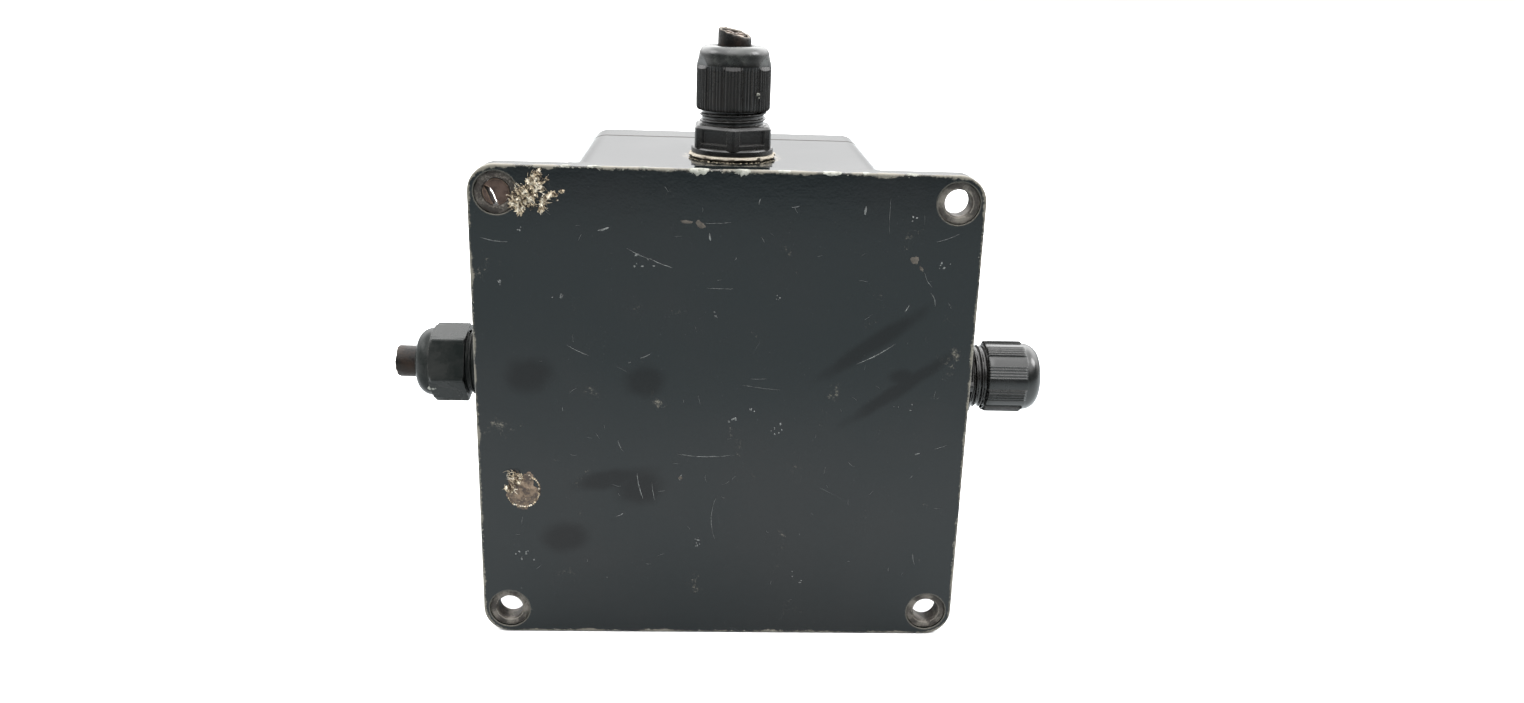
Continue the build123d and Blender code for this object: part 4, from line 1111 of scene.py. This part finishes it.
def nut_scuffs(material):
    """A chip on the hexagon nut, and scuffs on the top nut's ribs."""
    mesh = bmesh.new()
    end = along_gland("right", "right_gland_cap_nut")[1]
    chips = ((-33, end - 6.7, 0.9), (-34, end - 8.2, 0.7), (-32.5, end - 9.3, 0.45))
    for n, (angle, height, size) in enumerate(chips):
        patch_on_round(mesh, gland_place("right"), angle, height, 15.2, size, seed=n)
    piece("hexagon_nut_chip", mesh, material, "right_nut", sharp_over=60)
    mesh = bmesh.new()
    start = along_gland("top", "top_gland_cap_nut")[0]
    scuffs = ((38.5, start + 7.4, 0.7), (40, start + 6.0, 0.4))
    for n, (angle, height, size) in enumerate(scuffs):
        patch_on_round(mesh, gland_place("top"), angle, height, CREST - 0.1, size, seed=n + 5)
    return piece("ribbed_nut_scuff", mesh, material, "top_nut", sharp_over=60)


def patch_on_round(mesh, place, angle, height, radius, size, seed, steps=16):
    """A small thin flake on a round surface about a gland's axis."""
    rows = []
    for share, lift in ((0.05, 0.10), (0.6, 0.08), (1.0, -0.15)):
        row = []
        out = radius + lift
        for a in angles(steps):
            reach = size * share * (1 + 0.5 * ripple(a, 2, seed))
            around = radians(angle) + reach * 1.5 * cos(a) / radius
            spot = Vector((out * cos(around), out * sin(around), height + reach * sin(a)))
            row.append(mesh.verts.new(place @ spot))
        rows.append(row)
    tube(mesh, rows)


def dial_marks(material):
    """Raised 0 and 1 on the dial, a tick at each, and the arc between them."""
    low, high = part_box("dial_plate")
    middle = (low + high) / 2
    place = placed((middle.x, low.y, middle.z), (1, 0, 0), (0, -1, 0))
    mesh = bmesh.new()
    digit_at, half_wide, half_high, stroke = 37.3, 2.0, 2.6, 0.8

    def bar(angle, inner, outer, width):
        outline = ((inner, -width / 2), (outer, -width / 2), (outer, width / 2), (inner, width / 2))
        slab(mesh, place, [turned_point(r, w, angle) for r, w in outline])

    for angle in (90, 0):
        bar(angle, inner=31.8, outer=33.6, width=1.0)
    bar(0, inner=35.0, outer=39.6, width=1.1)
    steps = 28
    for k in range(steps):
        a, b = 2 * pi * k / steps, 2 * pi * (k + 1) / steps
        outside = [(half_wide * cos(t), digit_at + half_high * sin(t)) for t in (a, b)]
        inside = [((half_wide - stroke) * cos(t), digit_at + (half_high - stroke) * sin(t)) for t in (b, a)]
        slab(mesh, place, outside + inside)
    dashes, first, sweep = 18, 8, 74
    for k in range(dashes):
        a, b = (radians(first + sweep * (k + t) / dashes) for t in (0, 0.55))
        slab(mesh, place, [(r * cos(t), r * sin(t)) for r, t in ((32.9, a), (33.3, a), (33.3, b), (32.9, b))])
    return piece("dial_marks", mesh, material, "lid", sharp_over=20)


def turned_point(along, across, angle):
    """A point so far along and across a direction at an angle in degrees."""
    a = radians(angle)
    return along * cos(a) - across * sin(a), along * sin(a) + across * cos(a)


def slab(mesh, place, corners, high=0.12):
    """A thin raised plate with the given corners."""
    lower = [mesh.verts.new(place @ Vector((x, y, -0.02))) for x, y in corners]
    upper = [mesh.verts.new(place @ Vector((x, y, high))) for x, y in corners]
    mesh.faces.new(upper)
    mesh.faces.new(list(reversed(lower)))
    for k in range(len(corners)):
        j = (k + 1) % len(corners)
        mesh.faces.new((lower[k], lower[j], upper[j], upper[k]))


def copper_wisp(material):
    """A few bright wires sticking out of the cut cable's end."""
    high = along_gland("right", "right_cable_sheath")[1]
    mesh = bmesh.new()
    rng = random.Random(3)
    for _ in range(9):
        foot = Matrix.Translation((rng.uniform(1.5, 5.0), rng.uniform(-3.4, 0.0), high - 1.4))
        lean = Matrix.Rotation(rng.uniform(-0.3, 0.3), 4, "X")
        place = gland_place("right") @ foot @ lean
        rows = []
        for radius, height in ((0.2, 0.0), (0.2, 1.6), (0.2, rng.uniform(1.8, 2.5)), (0.12, 2.6)):
            ring = [Vector((radius * cos(a), radius * sin(a), height)) for a in angles(8)]
            rows.append([mesh.verts.new(place @ point) for point in ring])
        tube(mesh, rows)
    return piece("copper_wisp", mesh, material)


# ---- studio --------------------------------------------------------------------------------------
def studio_floor():
    """A plain pale floor under the box's bottom edge. Where only reflections and bounced light see it, its
    colour is painted darker, most of all in front: painted shade that stands in for a dim room, which the
    gloss mirrors.
    """
    look = Look("pale_floor", specular=0.25)
    tone = look.mix((0.86, 0.86, 0.86), (0.83, 0.83, 0.835), look.noise(6, 3.0))
    x, y, _ = look.axes(look.place)
    # painted shade of a dim room on the camera's side, seen only in reflections and bounced light
    painted_room_shade = look.times(look.band(y, 0.05, 0.42), look.band(look.math("ABSOLUTE", x), 2.4, 1.0))
    painted_room_shade = look.times(painted_room_shade, look.mirrored())
    # painted reflection: the floor is darker wherever it is only mirrored or bounced
    tone = look.mix(tone, (0.46, 0.49, 0.50), look.mirrored())
    tone = look.mix(tone, (0.28, 0.315, 0.325), painted_room_shade)
    tone = look.mix(tone, (0.04, 0.045, 0.05), look.times(painted_room_shade, look.band(y, 0.9, 1.4)))
    look.set(colour=tone, rough=0.5, normal=look.bump(look.noise(300, 2.0), 0.0001, 0.1))
    mesh = bmesh.new()
    level = BASE_LOW.z - 0.0002
    sides = 64
    rows = []
    for radius in (0.4, 1.2, 3.0, 7.0, 14.0):
        rows.append([mesh.verts.new((radius * cos(a), radius * sin(a), level)) for a in angles(sides)])
    mesh.faces.new(rows[0])
    for n in range(len(rows) - 1):
        for k in range(sides):
            j = (k + 1) % sides
            mesh.faces.new((rows[n][k], rows[n + 1][k], rows[n + 1][j], rows[n][j]))
    meshed("studio_floor", mesh, look.material)


def surroundings():
    """A white studio. The gloss mirrors it dim on the camera's side, bright overhead and behind the box."""
    world = bpy.data.worlds.new("studio")
    bpy.context.scene.world = world
    world.use_nodes = True
    sky = Wiring(world.node_tree)
    _, y, z = sky.axes(sky.nodes.new("ShaderNodeTexCoord").outputs["Generated"])
    front = sky.times(sky.band(y, -0.1, 0.35), sky.band(z, 0.60, 0.35))
    strip = sky.times(sky.band(z, 0.08, 0.40), sky.band(z, 0.80, 0.55))
    strip = sky.times(strip, sky.band(y, 0.1, -0.35))
    lit = sky.plus(sky.times(strip, 3.2), sky.band(z, 0.40, 0.72, 0.0, 3.0))
    shaped = sky.math("SUBTRACT", lit, sky.times(front, 0.8))
    strength = sky.plus(1.05, sky.times(shaped, sky.mirrored()))
    background = sky.nodes["Background"]
    background.inputs["Color"].default_value = (1.0, 1.0, 1.0, 1.0)
    sky.links.new(strength, background.inputs["Strength"])


def softbox(name, place, size, power):
    """A square lamp aimed at the box's middle."""
    light = bpy.data.lights.new(name, "AREA")
    light.shape = "SQUARE"
    light.size = size
    light.energy = power
    obj = shown(name, light)
    obj.location = place
    obj.rotation_euler = (-Vector(place)).to_track_quat("-Z", "Y").to_euler()


def camera():
    """The camera, a little above the box's middle and square to its mounting face."""
    data = bpy.data.cameras.new("camera")
    data.lens = CAMERA_LENS
    data.sensor_width = 36.0
    data.clip_start = 0.01
    obj = shown("camera", data)
    obj.location = CAMERA_PLACE
    obj.rotation_euler = [radians(t) for t in CAMERA_TURN]
    bpy.context.scene.camera = obj
    bpy.context.scene.view_settings.view_transform = "Standard"


def main():
    """Paints the part, rebuilds what shows from its mounting side, and sets up the studio."""
    made = paint_everything()
    nylon = made["gland_nylon"]
    dull = nut_nylon("hexagon_nut_nylon", tone=0.011, shine=0.08)
    shiny = nut_nylon("open_nut_nylon", tone=0.0036, shine=0.52)
    ribbed_nut("top", worn_nut_nylon(), lands=6, half_width=14.7,
               plain=lambda a: min(hex_radius(a, 14.75), 15.55),
               between=0.28, blend=4.0, bevel=1.12, dome_high=7.9,
               dome=dict(shoulder=15.5, neck=14.7, tip=10.8, round_high=4.3), hole=8.6, turn=-2.6)
    ribbed_nut("left", shiny, lands=9, half_width=10.0, plain=lambda a: 15.1,
               between=0.0, blend=0.8, bevel=0.83, dome_high=7.2,
               dome=dict(shoulder=15.1, neck=15.05, tip=8.9, round_high=6.9), hole=8.6, turn=-23.6)
    smooth_nut("right", dull, flat=15.1, hole=7.8, turn=20.4)
    gland_body("top", nylon, flat=15.8, hex_high=9.2, windows=True)
    gland_body("left", nylon, flat=15.0, hex_high=7.6, windows=True)
    gland_body("right", dull, flat=15.2, hex_high=4.2, windows=False)
    frayed_washer(made["fibre"])
    rubber, cut = made["cable_rubber"], cut_rubber()
    cable_end = {side: along_gland(side, f"{side}_cable_sheath")[1] for side in ("top", "right")}
    cable_stub("top", rubber, cut, lean_x=-0.145, lean_y=-0.25, middle_high=cable_end["top"] - 2.1)
    cable_stub("right", rubber, cut, lean_x=0.02, lean_y=0.03, middle_high=cable_end["right"])
    worn_bushes(made["bush_steel"])
    torn = torn_fibre()
    torn_patch(torn)
    round_scar(resin_scar(), torn)
    chipped = chipped_edge()
    edge_chips(chipped)
    pale = scratch_white()
    scratches(pale)
    crumbs(pale)
    edge_nicks(rubbed_edge())
    stains(dried_dirt())
    plugged_bore(packed_dirt())
    nut_scuffs(chipped)
    copper_wisp(bare_wire())
    dial_marks(dial_ink())
    studio_floor()
    surroundings()
    softbox("overhead", (0.0, -0.2, 1.6), size=1.2, power=6)
    softbox("right side", (1.3, 0.0, 1.1), size=0.6, power=7)
    softbox("left side", (-1.3, 0.1, 1.1), size=0.6, power=12)
    softbox("front", (0.2, 0.9, 2.0), size=1.0, power=9)
    camera()


main()
